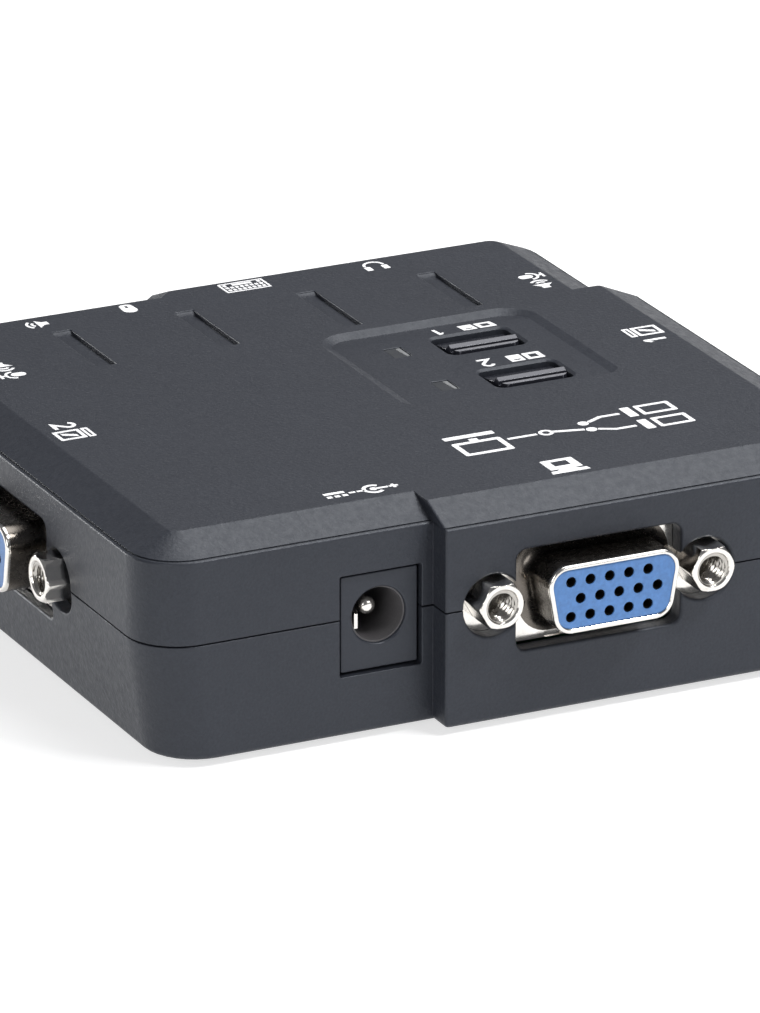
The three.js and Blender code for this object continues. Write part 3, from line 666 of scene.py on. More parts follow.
grooves = [groove_cutter(GROOVE_X + k * GROOVE_PITCH) for k in range(4)]
boolean(top_shell, "DIFFERENCE", merged([*grooves, pocket_cutter()]))
holes = at_bosses(PILOT_RADIUS, pillar_bottom - 1, pillar_bottom + PILOT_DEPTH, 24)
for name in COMPUTERS:
    hole = rectangle(*HOLE_HALF, HOLE_RADIUS, BUTTON_X, BUTTON_Y[name])
    out, down = HOLE_CHAMFER
    profile = [(0, -2 * WALL), (0, -down - 0.04), (0.04, -down),
               (out - 0.02, -0.01), (out + 0.04, 0.01), (out + 0.04, 1)]
    holes.append(loft([at_height(offset(hole, run), FLOOR_Z + up) for run, up in profile]))
    window_half = [half + LENS_PLAY for half in LENS_HALF]
    window = rectangle(*window_half, 0.15, LENS_X, BUTTON_Y[name] + LENS_AHEAD)
    holes.append(flared(window, TOP_Z - 2 * WALL, FLOOR_Z, 0.1))
boolean(top_shell, "DIFFERENCE", merged(holes))

FEET = [box_mm(f"foot_{k}") for k in range(1, 5)]
sinks = []
for lo, hi in FEET:
    middle = (lo + hi) / 2
    outline = circle(FOOT_RADIUS + PLAY / 2, 40, middle.x, middle.y)
    sinks.append(prism(outline, BOTTOM_Z - 1, BOTTOM_Z + FOOT_SUNK))
sinks += at_bosses(SCREW_SEAT_RADIUS, BOTTOM_Z - 1, SCREW_SEAT_TOP)
boolean(bottom_shell, "DIFFERENCE", merged(sinks))
boolean(bottom_shell, "DIFFERENCE", merged(at_bosses(CLEAR_RADIUS, BOTTOM_Z, board_lo.z + 1, 24)))

for shell, node in ((top_shell, "top_cover"), (bottom_shell, "bottom_cover")):
    dress(weighted(shell), "case", nodes=(node,))

# ---------------------------------------------------------------- selector buttons and lamps

CAP_HALF = (4.2, 2.45)
CAP_EDGE, CAP_CORNER = 0.12, 1.0
CAP_BASE = TOP_Z - 0.65
# (distance towards the user, height over the base, radius): lip, slit, ridge and the cap's long slope
RIDGE_PROFILE = [
    (-CAP_HALF[1], -2.0, 0), (-CAP_HALF[1], 0.36, 0.1), (-2.05, 0.48, 0.06), (-1.98, 0.1, 0.04),
    (-1.62, 0.1, 0.04), (-1.6, 0.52, 0.05), (-1.0, 0.79, 0.08), (-0.55, 0.2, 0.1),
    (2.3, -0.25, 0.12), (2.35, -2.0, 0),
]
CAP_FLANGE_HALF, CAP_FLANGE_GAP, CAP_FLANGE_THICK = (5.8, 4.1), 0.25, 1.0
CAP_NECK_HALF, CAP_STEM_RADIUS = (3.9, 2.2), 2.0
BRIM_HALF, BRIM_GAP, BRIM_THICK = (1.7, 2.2), 0.1, 0.8  # rim of a lens, under the cover

for name in COMPUTERS:
    y = BUTTON_Y[name]
    lo, hi = box_mm(f"{name}_button")
    profile = rounded([(-along, up, radius) for along, up, radius in RIDGE_PROFILE], 5)
    across = Matrix(((0, 0, -1, BUTTON_X), (-1, 0, 0, y), (0, 1, 0, CAP_BASE), (0, 0, 0, 1)))
    button = piece(f"{name}_selector_cap", prism(profile, -CAP_HALF[0], CAP_HALF[0], CAP_EDGE), across)
    plan = rectangle(*CAP_HALF, CAP_CORNER, BUTTON_X, y)
    boolean(button, "INTERSECT", prism(plan, CAP_BASE - 3, CAP_BASE + 3))
    flange_top = TOP_Z - WALL - CAP_FLANGE_GAP
    plan = rectangle(*CAP_FLANGE_HALF, 0.5, BUTTON_X, y)
    flange = prism(plan, flange_top - CAP_FLANGE_THICK, flange_top, 0.1)
    boolean(button, "UNION", flange)
    stem = prism(circle(CAP_STEM_RADIUS, 24, BUTTON_X, y), lo.z, CAP_BASE - 1, 0.1)
    boolean(button, "UNION", stem)
    neck = prism(rectangle(*CAP_NECK_HALF, 0.4, BUTTON_X, y), flange_top - 0.5, CAP_BASE - 0.6)
    boolean(button, "UNION", neck)
    dress(weighted(button), "button", f"{name}_selector", nodes=(f"{name}_button",))

    lo, hi = box_mm(f"{name}_lamp_lens")
    lamp_y = y + LENS_AHEAD
    pipe_top = FLOOR_Z - LENS_DROP
    pipe = prism(rectangle(*LENS_HALF, 0.12, LENS_X, lamp_y), lo.z, pipe_top, 0.06)
    lens = piece(f"{name}_lamp_window", pipe)
    brim_top = TOP_Z - WALL - BRIM_GAP
    brim = prism(rectangle(*BRIM_HALF, 0.2, LENS_X, lamp_y), brim_top - BRIM_THICK, brim_top, 0.05)
    boolean(lens, "UNION", brim)
    dress(weighted(lens), "lens", nodes=(f"{name}_lamp_lens",))
    # A light grey strip along the window's right edge: a painted highlight.
    corners = [(0.5, -1.3, 0.1), (0.85, -1.3, 0.1), (0.85, 1.3, 0.1), (0.3, 1.3, 0.1)]
    edge_outline = rounded([(LENS_X + x, lamp_y + along, radius) for x, along, radius in corners], 3)
    highlight_strip = piece(f"{name}_lamp_edge", prism(edge_outline, pipe_top - 0.3, pipe_top + 0.05, 0.04))
    dress(highlight_strip, "highlight_strip")

# ---------------------------------------------------------------- display sockets

SHELL_WIDTH, SHELL_HEIGHT, SHELL_RADIUS, SHELL_SLANT = 16.33, 7.75, 2.2, math.radians(10)
SHELL_RIM, SHELL_ROLL, SHELL_ROOT = 0.5, 0.26, 1.5  # folded rim, its rounding and the fillet behind
FLANGE_BACK, FLANGE_THICK_METAL = WALL + 0.1, 0.8
SHELL_TIP = VIDEO_REACH
INSERT_FACE, INSERT_PLAY = SHELL_TIP - 0.12, 0.04
PIN_PITCH, ROW_PITCH, PIN_RADIUS, PIN_DEPTH = 2.29, 1.98, 0.6, 3.0
LOCK_FLAT, LOCK_TIP = 4.8, 2.2
THREAD_PITCH, THREAD_MINOR, THREAD_MAJOR, THREAD_DEPTH = 0.635, 1.5, 1.82, 3.4
THREAD_START, LOCK_SHANK, LOCK_HOLE = 0.22, 1.3, 1.7
DIMPLE_AT, DIMPLE_HALF = (4.5, 5.75), (1.1, 0.35)
SOCKET_BLOCK_HALF, SOCKET_BLOCK_DEPTH = (9.6, 5.4), 9.0


def d_outline(width, height, radius):
    """Rounded D with its wide side up."""
    narrow = width / 2 - height * math.tan(SHELL_SLANT)
    wide = width / 2
    low, high = -height / 2, height / 2
    corners = [(-narrow, low), (narrow, low), (wide, high), (-wide, high)]
    return rounded([(x, y, radius) for x, y in corners], 8)


def inner_outline(inset):
    """Outline of a display socket's collar, made smaller by inset."""
    return d_outline(SHELL_WIDTH - 2 * inset, SHELL_HEIGHT - 2 * inset, SHELL_RADIUS - inset)


def profile_rings(outline, profile):
    """Rings of an outline offset and raised along a profile of (offset, height)."""
    return [at_height(offset(outline, out), z) for out, z in profile]


def turned(profile, count, x=0, y=0):
    """Rings of a turned shape, from its profile of (radius, height)."""
    return [at_height(circle(radius, count, x, y), z) for radius, z in profile]


def tube(rings, bm=None):
    """Closed ring-shaped skin: the last ring joins back to the first."""
    bm = bm or bmesh.new()
    rows = [[bm.verts.new(point) for point in ring] for ring in rings]
    count = len(rows[0])
    for i, low in enumerate(rows):
        high = rows[(i + 1) % len(rows)]
        for k in range(count):
            n = (k + 1) % count
            bm.faces.new((low[k], low[n], high[n], high[k]))
    return bm


def contact_places():
    """Middles of the fifteen contacts, the middle row half a pitch to the right of the others."""
    for row in (-1, 0, 1):
        shift = PIN_PITCH / 4 if row == 0 else -PIN_PITCH / 4
        for k in range(-2, 3):
            yield k * PIN_PITCH + shift, row * ROW_PITCH


def hex_radius(angle):
    """Distance from a hexagon's middle to its side, with a corner to the right."""
    beside = (angle % (math.pi / 3)) - math.pi / 6
    return LOCK_FLAT / 2 / math.cos(beside)


def screw_lock(name, place):
    """Hexagonal female screw lock with a chamfered face, and the thread in its bore."""
    count = 48
    turns = [2 * math.pi * k / count for k in range(count)]

    def ring(radius_at, z):
        return [Vector((radius_at(a) * math.cos(a), radius_at(a) * math.sin(a), z)) for a in turns]

    back = -FLANGE_BACK + SLIT
    rings = [ring(lambda a: LOCK_SHANK, back - 3), ring(lambda a: LOCK_SHANK, back), ring(hex_radius, back)]
    for limit, drop in ((2.77, 0.3), (2.62, 0.16), (2.5, 0.06), (2.42, 0.015), (2.36, 0.0)):
        rings.append(ring(lambda a: min(limit, hex_radius(a)), LOCK_TIP - drop))
    bore = ((2.02, 0.0), (1.95, 0.02), (1.89, 0.09), (THREAD_MAJOR, 0.2), (THREAD_MAJOR, THREAD_DEPTH))
    for radius, drop in bore:
        rings.append(ring(lambda a: radius, LOCK_TIP - drop))
    lock = piece(name, loft(rings), place, 32)

    rings = []
    steps = 42
    for k in range(steps + 1):
        depth = THREAD_START + (THREAD_DEPTH - THREAD_START - 0.02) * k / steps

        def thread(a):
            phase = (depth / THREAD_PITCH + a / (2 * math.pi)) % 1
            crest = 1 - abs(2 * phase - 1)
            return THREAD_MAJOR - 0.03 - (THREAD_MAJOR - THREAD_MINOR) * min(1.0, 1.25 * crest)

        rings.append(ring(thread, LOCK_TIP - depth))
    for depth in (THREAD_DEPTH - 0.02, THREAD_START):
        rings.append(ring(lambda a: THREAD_MAJOR - 0.01, LOCK_TIP - depth))
    return lock, piece(name + "_thread", tube(rings), place, 32)


def video_socket(name, place):
    """Flange, collar with its folded rim, insert, contact sleeves and two screw locks."""
    outline = inner_outline(0)
    back = -FLANGE_BACK
    flange = prism(rectangle(*FLANGE_HALF, 1.5), back - FLANGE_THICK_METAL, back, 0.15)
    shell = piece(f"{name}_socket_shell", flange, place)
    holes = [prism(circle(LOCK_HOLE, 32, side * VIDEO_SPACING), back - 2, back + 1) for side in (-1, 1)]
    dimple_x, dimple_y = DIMPLE_AT
    dimples = [prism(rectangle(*DIMPLE_HALF, 0.3, side * dimple_x, up * dimple_y), back - 0.2, back + 1)
               for up in (1, -1) for side in (-1, 1)]
    inner = inner_outline(SHELL_RIM)
    boolean(shell, "DIFFERENCE", merged([*holes, *dimples, prism(inner, back - 2, back + 2)]), place)
    dress(weighted(shell), "nickel", nodes=(f"{name}_video_shell",))

    sweep = [math.pi / 2 * k / 6 for k in range(7)]
    root = [(SHELL_ROOT - SHELL_ROOT * math.sin(a), back + SHELL_ROOT - SHELL_ROOT * math.cos(a))
            for a in sweep]
    collar_profile = [(-SHELL_RIM, SHELL_TIP - 0.5), (-SHELL_RIM, back + 0.02), (SHELL_ROOT, back + 0.02),
                      *root[1:], (0, SHELL_TIP - 0.5)]
    # The collar's dark nickel is painted shade; the shell it belongs to is bright nickel like the flange and
    # rim.
    collar = piece(f"{name}_socket_collar", tube(profile_rings(outline, collar_profile)), place)
    dress(weighted(collar), "painted_shade_nickel")

    roll = [(-out, SHELL_TIP - down) for out, down in quarter(SHELL_ROLL, 6)]
    rim_profile = [(0, SHELL_TIP - 0.49), *roll, (-SHELL_RIM + 0.08, SHELL_TIP),
                   (-SHELL_RIM, SHELL_TIP - 0.08), (-SHELL_RIM, SHELL_TIP - 0.49)]
    rim = piece(f"{name}_socket_rim", tube(profile_rings(outline, rim_profile)), place)
    dress(weighted(rim), "nickel")

    block_front = back - FLANGE_THICK_METAL - SLIT
    front = prism(inner_outline(SHELL_RIM + INSERT_PLAY), block_front - 1, INSERT_FACE, 0.18)
    insert = piece(f"{name}_socket_insert", front, place)
    block = prism(rectangle(*SOCKET_BLOCK_HALF, 0.4), block_front - SOCKET_BLOCK_DEPTH, block_front, 0.2)
    boolean(insert, "UNION", block, place)
    holes = [flared(circle(PIN_RADIUS, 20, x, y), INSERT_FACE - PIN_DEPTH, INSERT_FACE, 0.05, beyond=0.4)
             for x, y in contact_places()]
    boolean(insert, "DIFFERENCE", merged(holes), place)
    dress(weighted(insert), "blue", nodes=(f"{name}_video_insert",))

    # The contact sleeves are near-black: painted shade for the dark holes of the insert.
    contacts = bmesh.new()
    sleeve_foot = INSERT_FACE - PIN_DEPTH + 0.1
    profile = [(0.5, INSERT_FACE - 0.12), (0.24, INSERT_FACE - 0.9), (0.24, sleeve_foot),
               (0.58, sleeve_foot), (0.58, INSERT_FACE - 0.14)]
    for x, y in contact_places():
        tube(turned(profile, 14, x, y), contacts)
    sleeves = piece(f"{name}_socket_contacts", contacts, place)
    dress(sleeves, "painted_shade_metal")

    for side, label in ((-1, "left"), (1, "right")):
        beside = place @ Matrix.Translation((side * VIDEO_SPACING, 0, 0))
        lock, thread = screw_lock(f"{name}_lock_{label}", beside)
        dress(lock, "nickel", nodes=(f"{name}_screw_lock_{label}",))
        dress(thread, "thread")


for name, place in VIDEO_SITES.items():
    video_socket(name, place)

# ---------------------------------------------------------------- power inlet

INLET_DEPTH, INLET_HOLE_UP, INLET_HOLE_RADIUS, INLET_HOLE_DEPTH = 13.9, 0.5, 3.15, 9.5
PIN_TIP_BACK, INLET_PIN_RADIUS, PIN_NOSE = 2.5, 1.0, 0.75
LINER_THICK = 0.2

inlet_face = -INLET_FACE_BACK
outline = rectangle(INLET_HALF[0] - PLAY / 2, INLET_HALF[1] - PLAY / 2, 0.2)
inlet = piece("inlet_housing", prism(outline, inlet_face - INLET_DEPTH, inlet_face, 0.15), INLET_SITE)
bore = flared(circle(INLET_HOLE_RADIUS, 48, 0, INLET_HOLE_UP), inlet_face - INLET_HOLE_DEPTH, inlet_face, 0.3)
boolean(inlet, "DIFFERENCE", bore, INLET_SITE)
dress(weighted(inlet), "smooth", nodes=("power_inlet_housing",))

# The liner's lighter grey is painted light that reaches into the bore.
liner_foot, liner_bore = inlet_face - INLET_HOLE_DEPTH + 0.2, INLET_HOLE_RADIUS - LINER_THICK
liner_profile = [(INLET_HOLE_RADIUS - 0.12, inlet_face - 0.42), (liner_bore, inlet_face - 0.55),
                 (liner_bore, liner_foot), (INLET_HOLE_RADIUS, liner_foot),
                 (INLET_HOLE_RADIUS, inlet_face - 0.4)]
liner = piece("inlet_liner", tube(turned(liner_profile, 48, 0, INLET_HOLE_UP)), INLET_SITE)
dress(liner, "liner")

pin_foot = inlet_face - INLET_HOLE_DEPTH + SLIT
pin_tip = inlet_face - PIN_TIP_BACK
nose_turns = [math.pi / 2 * k / 8 for k in range(1, 8)]
pin_profile = [(0.85, pin_foot), (INLET_PIN_RADIUS, pin_foot + 0.1), (INLET_PIN_RADIUS, pin_tip - PIN_NOSE)]
pin_profile += [(INLET_PIN_RADIUS * math.cos(a) ** 0.8 + 0.02, pin_tip - PIN_NOSE + PIN_NOSE * math.sin(a))
                for a in nose_turns]
pin = piece("inlet_pin", loft(turned(pin_profile, 32, 0, INLET_HOLE_UP)), INLET_SITE)
dress(pin, "nickel", nodes=("power_inlet_pin",))

SPRING_HALF, SPRING_THICK, SPRING_UP = 0.85, 0.4, -0.45
# (distance along the bore, distance off its wall, radius) of the contact leaf's bends
SPRING_BENDS = [(0.0, 0.0, 0), (3.5, 0.2, 3), (6.0, 0.35, 2), (7.9, 0.5, 0.8), (9.0, 0.05, 0)]

wall_x = -math.sqrt(liner_bore ** 2 - SPRING_HALF ** 2) + 0.05
front_line = rounded(SPRING_BENDS, 6, closed=False)
back_line = [p + Vector((0, SPRING_THICK)) for p in front_line]
leaf_outline = [Vector((p.y, p.x)) for p in [*back_line, *reversed(front_line)]]
spring_up = INLET_HOLE_UP + SPRING_UP
leaf_place = Matrix(((1, 0, 0, wall_x), (0, 0, -1, spring_up), (0, 1, 0, pin_foot), (0, 0, 0, 1)))
leaf = prism(leaf_outline, -SPRING_HALF, SPRING_HALF, 0.06)
spring = piece("inlet_spring", leaf, INLET_SITE @ leaf_place)
dress(spring, "nickel", nodes=("power_inlet_spring",))

# ---------------------------------------------------------------- USB sockets

USB_DEPTH, USB_WALL = 13.6, 0.4
TONGUE_HALF, TONGUE_UP, TONGUE_BACK = (5.4, 0.9), 1.0, 1.0
TONGUE_FACE = TONGUE_UP - TONGUE_HALF[1]  # the side that carries the contacts
USB_CONTACTS = (-3.5, -1, 1, 3.5)
GRIP_X, GRIP_DIP = 3.4, 0.5

for name, place in USB_SITES.items():
    outline = rectangle(*USB_HALF, 0.6)
    outside = [(0, -USB_DEPTH), (0, -0.9), (0.03, -0.4), (0.14, 0.05), (0.2, 0.26), (0.14, 0.34),
               (0.02, USB_REACH)]
    inside = [(-0.06, 0.3), (-0.16, 0.1), (-0.32, -0.4), (-USB_WALL, -0.9), (-USB_WALL, -USB_DEPTH + 0.4)]
    can = piece(f"{name}_socket_can", loft(profile_rings(outline, outside + inside)), place)
    for up in (-1, 1):
        for side in (-1, 1):
            rings = []
            for k in range(9):
                along = k / 8
                dip = GRIP_DIP * math.sin(math.pi * along) ** 1.5
                middle = up * (USB_HALF[1] - USB_WALL / 2 - dip)
                section = rectangle(1.0, USB_WALL * 0.4, 0.1, side * GRIP_X, middle, 2)
                rings.append(at_height(section, -2.2 - 4.5 * (1 - along)))
            boolean(can, "UNION", loft(rings), place)
    dress(weighted(can), "nickel", nodes=(f"{name}_usb_shell",))

    tongue_outline = rectangle(*TONGUE_HALF, 0.15, 0, TONGUE_UP)
    tongue = piece(f"{name}_socket_tongue", prism(tongue_outline, -USB_DEPTH + 1, -TONGUE_BACK, 0.2), place)
    base = prism(rectangle(USB_HALF[0] - 0.5, USB_HALF[1] - 0.5, 0.3), -USB_DEPTH + 0.5, -USB_DEPTH + 4, 0.1)
    boolean(tongue, "UNION", base, place)
    slots = [prism(rectangle(0.62, 0.2, 0.05, x, TONGUE_FACE), -9.5, -1.7) for x in USB_CONTACTS]
    boolean(tongue, "DIFFERENCE", merged(slots), place)
    dress(weighted(tongue), "black", nodes=(f"{name}_usb_tongue",))

    fingers = bmesh.new()
    for x in USB_CONTACTS:
        rings = []
        for k in range(11):
            along = k / 10
            drop = 0.16 * math.sin(math.pi * min(1, along * 1.1)) ** 2
            middle = TONGUE_FACE + 0.06 - drop
            rings.append(at_height(rectangle(0.5, 0.08, 0.04, x, middle, 2), -9.3 + 7.4 * along))
        loft(rings, fingers)
    contacts = piece(f"{name}_socket_contacts", fingers, place)
    dress(contacts, "contact")

# ---------------------------------------------------------------- audio sockets

BUSH_RADIUS, JACK_BORE, BUSH_DEPTH, JACK_DEPTH, JACK_BORE_DEPTH = 2.4, 1.8, 3.0, 12.0, 10.2
COLLAR_BACK = 0.2

for name, place in JACK_SITES.items():
    collar_profile = [(JACK_RADIUS, -WALL - 1)]
    collar_profile += [(JACK_RADIUS - out, -COLLAR_BACK - down) for out, down in quarter(0.25)]
    housing = piece(f"{name}_socket_housing", loft(turned(collar_profile, 40)), place)
    block = prism(rectangle(JACK_BLOCK, JACK_BLOCK, 0.3), -JACK_DEPTH, -WALL - PLAY, 0.15)
    boolean(housing, "UNION", block, place)
    boolean(housing, "DIFFERENCE", prism(circle(JACK_BORE, 32), -JACK_BORE_DEPTH, 1), place)
    seat = flared(circle(BUSH_RADIUS + 0.08, 40), -COLLAR_BACK - BUSH_DEPTH, -COLLAR_BACK, 0.1)
    boolean(housing, "DIFFERENCE", seat, place)
    dress(weighted(housing), "black", nodes=(f"{name}_jack_housing",))

    bush_back = -COLLAR_BACK - BUSH_DEPTH + SLIT
    lip = [(BUSH_RADIUS - out, -down) for out, down in quarter(0.22)]
    mouth = [(JACK_BORE + out, -down) for out, down in reversed(quarter(0.22))]
    profile = [(BUSH_RADIUS, bush_back), *lip, *mouth, (JACK_BORE, bush_back)]
    bush = piece(f"{name}_socket_bush", tube(turned(profile, 40)), place)
    dress(weighted(bush), "nickel", nodes=(f"{name}_jack_sleeve",))

# ---------------------------------------------------------------- screws and feet

HEAD_HEIGHT, SCREW_PITCH = 1.9, 0.85
SHANK_ROOT, SHANK_CREST = 1.02, 1.3

for k in range(1, 5):
    lo, hi = box_mm(f"case_screw_{k}")
    middle = (lo + hi) / 2
    head_top = lo.z + HEAD_HEIGHT
    dome = [(0.6, lo.z), (1.4, lo.z + 0.07), (2.0, lo.z + 0.28), (2.35, lo.z + 0.62), (2.48, lo.z + 1.0),
            (2.5, head_top - 0.1), (2.4, head_top)]
    shank = []
    z = head_top
    while z < hi.z - 1.2:
        shank += [(SHANK_ROOT, z + 0.05), (SHANK_CREST, z + 0.4),
                  (SHANK_CREST, z + 0.45), (SHANK_ROOT, z + 0.8)]
        z += SCREW_PITCH
    profile = [*dome, *shank, (1.0, hi.z - 0.8), (0.5, hi.z)]
    screw = piece(f"cover_screw_{k}", loft(turned(profile, 32, middle.x, middle.y)))
    for half_x, half_y in ((1.45, 0.3), (0.3, 1.45)):
        mouth = rectangle(half_x, half_y, 0.05, middle.x, middle.y, 2)
        foot = rectangle(half_x * 0.55, half_y * 0.55, 0.03, middle.x, middle.y, 2)
        boolean(screw, "DIFFERENCE", loft([at_height(mouth, lo.z - 0.2), at_height(foot, lo.z + 1.4)]))
    dress(weighted(screw), "steel", nodes=(f"case_screw_{k}",))

    lo, hi = FEET[k - 1]
    middle = (lo + hi) / 2
    dish = [(2.2, 0.12), (2.45, 0.1), (2.65, 0.02), (2.8, 0.0)]
    profile = [*dish, (FOOT_RADIUS - 0.5, 0.0), (FOOT_RADIUS - 0.22, 0.06), (FOOT_RADIUS - 0.05, 0.24),
               (FOOT_RADIUS, 0.5), (FOOT_RADIUS, hi.z)]
    foot = piece(f"rubber_foot_{k}", loft(turned(profile, 48, middle.x, middle.y)))
    dress(weighted(foot), "rubber", nodes=(f"foot_{k}",))

# ---------------------------------------------------------------- board and what stands on it

INSIDE_LOOKS = {
    "board": ["main_board"],
    "steel": ["crystal", "capacitor_1", "capacitor_2"],
    "lens": [f"{name}_lamp" for name in COMPUTERS],
    "black": [f"{name}_switch_{part}" for name in COMPUTERS for part in ("body", "plunger")],
    "chip": ["switch_chip", "hub_chip", "power_regulator"],
}
INSIDE_LOOK_OF = {name: look for look, names in INSIDE_LOOKS.items() for name in names}

for name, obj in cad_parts.items():
    if obj.hide_render:
        continue
    for slot in obj.material_slots:
        slot.material = LOOKS[INSIDE_LOOK_OF[name]].material

# ---------------------------------------------------------------- printed marks

PRINT_SUNK, PRINT_PROUD = 0.005, 0.02


def stroke(points, width):
    """Outline of a line of that width through the points, its joints mitred."""
    points = [Vector(p) for p in points]
    left, right = [], []
    last = len(points) - 1
    for i, point in enumerate(points):
        into = (point - points[max(i - 1, 0)]).normalized()
        out = (points[min(i + 1, last)] - point).normalized()
        into = out if i == 0 else into
        out = into if i == last else out
        normal = Vector((-into.y - out.y, into.x + out.x)).normalized()
        reach = width / 2 / max(0.4, normal.dot(Vector((-into.y, into.x))))
        left.append(point + normal * reach)
        right.append(point - normal * reach)
    return [right + left[::-1]]


def arc_points(x, y, radius, start, end, steps=12):
    turns = [math.radians(start + (end - start) * k / steps) for k in range(steps + 1)]
    return [(x + radius * math.cos(a), y + radius * math.sin(a)) for a in turns]


def bar(half_x, half_y, x=0.0, y=0.0, radius=0.0):
    return [rectangle(half_x, half_y, radius, x, y, 4)]


def window(half_x, half_y, hole_x, hole_y, x=0.0, y=0.0, hole_up=0.0):
    """Rectangle with a rectangular hole."""
    return [rectangle(half_x, half_y, 0.12, x, y, 3), rectangle(hole_x, hole_y, 0.05, x, y + hole_up, 3)]


def disc(radius, x=0.0, y=0.0):
    return [circle(radius, 20, x, y)]


def ring(radius, line, x=0.0, y=0.0):
    return [circle(radius, 24, x, y), circle(radius - line, 24, x, y)]


def polygon(*points):
    return [[Vector(p) for p in points]]


def shifted(shapes, x, y, scale=1.0):
    return [[[p * scale + Vector((x, y)) for p in loop] for loop in shape] for shape in shapes]


def monitor_mark():
    display = window(1.9, 1.45, 0.95, 0.68, 0, 0.55, 0.15)
    stand = polygon((-0.9, -0.9), (0.9, -0.9), (1.3, -1.3), (-1.3, -1.3))
    foot = polygon((-2.1, -1.3), (2.1, -1.3), (2.25, -2.05), (-2.25, -2.05))
    return [display, stand, foot]


def computer_mark():
    """A desktop computer: its display with a slanted gleam, and a flat box over it."""
    display = window(1.4, 1.55, 0.98, 1.13, 0, -0.55)
    gleam = polygon((-0.75, -1.35), (-0.1, -1.35), (0.75, 0.25), (0.1, 0.25))
    return [display, gleam, window(1.4, 0.42, 1.05, 0.12, 0, 1.62)]


def station_mark():
    """A small display beside a computer's upright box."""
    box = [rectangle(0.85, 1.0, 0.1, -1.25, 0, 3), rectangle(0.4, 0.16, 0.05, -1.25, 0.5, 3)]
    return [window(1.05, 1.0, 0.5, 0.5, -3.45, 0), box]


def digit_one():
    return [bar(0.28, 1.5, 0.15, 0), polygon((-0.13, 1.5), (-0.13, 0.85), (-0.62, 0.55), (-0.62, 0.95))]


def digit_two():
    curve = arc_points(0, 0.62, 0.7, 165, -35, 10)
    return [stroke([*curve, (-0.72, -1.22), (0.95, -1.22)], 0.5)]


def speaker_mark():
    cone = polygon((-1.3, -0.45), (-0.7, -0.45), (0.0, -1.15), (0.0, 1.15), (-0.7, 0.45), (-1.3, 0.45))
    waves = [stroke(arc_points(0, 0, r, -52, 52), 0.32) for r in (0.6, 1.2)]
    return [cone, *waves]


def microphone_mark():
    head = [rounded([(-0.52, -0.2, 0.48), (0.52, -0.2, 0.48), (0.52, 1.45, 0.48), (-0.52, 1.45, 0.48)], 5)]
    cradle = stroke(arc_points(0, 0.2, 0.95, 180, 360), 0.3)
    return [head, cradle, bar(0.15, 0.13, 0, -1.06), bar(0.65, 0.15, 0, -1.36)]


def mouse_mark():
    body = [rounded([(-0.95, -1.3, 0.85), (0.95, -1.3, 0.85), (0.72, 1.35, 0.55), (-0.72, 1.35, 0.55)], 6),
            rectangle(0.17, 0.34, 0.1, 0, 0.6, 3)]
    return [body]


def keyboard_mark():
    frame_shape = window(2.75, 1.5, 2.5, 1.25)
    keys = [bar(0.2, 0.27, -2.1 + 0.6 * k, row) for row in (-0.02, 0.78) for k in range(8)]
    space_row = [bar(1.2, 0.27, 0, -0.82), bar(0.2, 0.27, -2.1, -0.82), bar(0.2, 0.27, 2.1, -0.82)]
    return [frame_shape, *keys, *space_row]


def headphones_mark():
    band = stroke(arc_points(0, 0.1, 1.15, 0, 180, 14), 0.34)
    cups = [bar(0.38, 0.62, side * 1.05, -0.75, 0.15) for side in (-1, 1)]
    return [band, *cups]


def plus_sign(x, y, reach, half):
    arms = [(reach, -half), (reach, half), (half, half), (half, reach)]
    return polygon(*[(x + a * turn_x - b * turn_y, y + a * turn_y + b * turn_x)
                     for turn_x, turn_y in ((1, 0), (0, 1), (-1, 0), (0, -1)) for a, b in arms[:3]])


def direct_current_mark():
    """The symbol of direct current, and a plug with its middle positive."""
    lines = [bar(1.2, 0.27, -2.8, 0.55), *[bar(0.3, 0.27, -3.7 + 0.9 * k, -0.4) for k in range(3)]]
    plug = [disc(0.42, 1.6, 0), stroke(arc_points(1.6, 0, 1.05, 45, 315, 16), 0.42),
            bar(0.45, 0.2, 0.1, 0), bar(0.65, 0.2, 2.65, 0)]
    return [*lines, *plug, bar(0.38, 0.2, -0.9, 0), plus_sign(3.95, 0, 0.52, 0.18)]


def switch_diagram():
    """Two computers, a two-way switch and one display, joined by lines."""
    shapes = []
    for up in (-2.05, 2.05):
        shapes.append([rectangle(2.1, 1.45, 0.2, -11.2, up, 3), rectangle(1.6, 0.95, 0.1, -11.2, up, 3)])
        shapes.append(bar(0.55, 1.45, -8.0, up, 0.15))
        shapes.append(stroke([(-6.8, up), (-4.4, up), (-2.6, math.copysign(1.15, up))], 0.5))
        shapes.append(disc(0.62, -1.9, math.copysign(1.0, up)))
    shapes.append(stroke([(-1.2, 0.72), (2.2, -0.15)], 0.55))
    shapes.append(ring(0.85, 0.42, 3.0, -0.2))
    shapes.append(stroke([(4.1, -0.2), (7.6, -0.2)], 0.5))
    shapes.append([rectangle(2.9, 2.0, 0.25, 11.0, 0.7, 3), rectangle(2.3, 1.4, 0.1, 11.0, 0.7, 3)])
    shapes.append(bar(0.5, 0.35, 11.0, -1.65))
    shapes.append(bar(3.0, 0.45, 11.0, -2.9, 0.15))
    return shapes


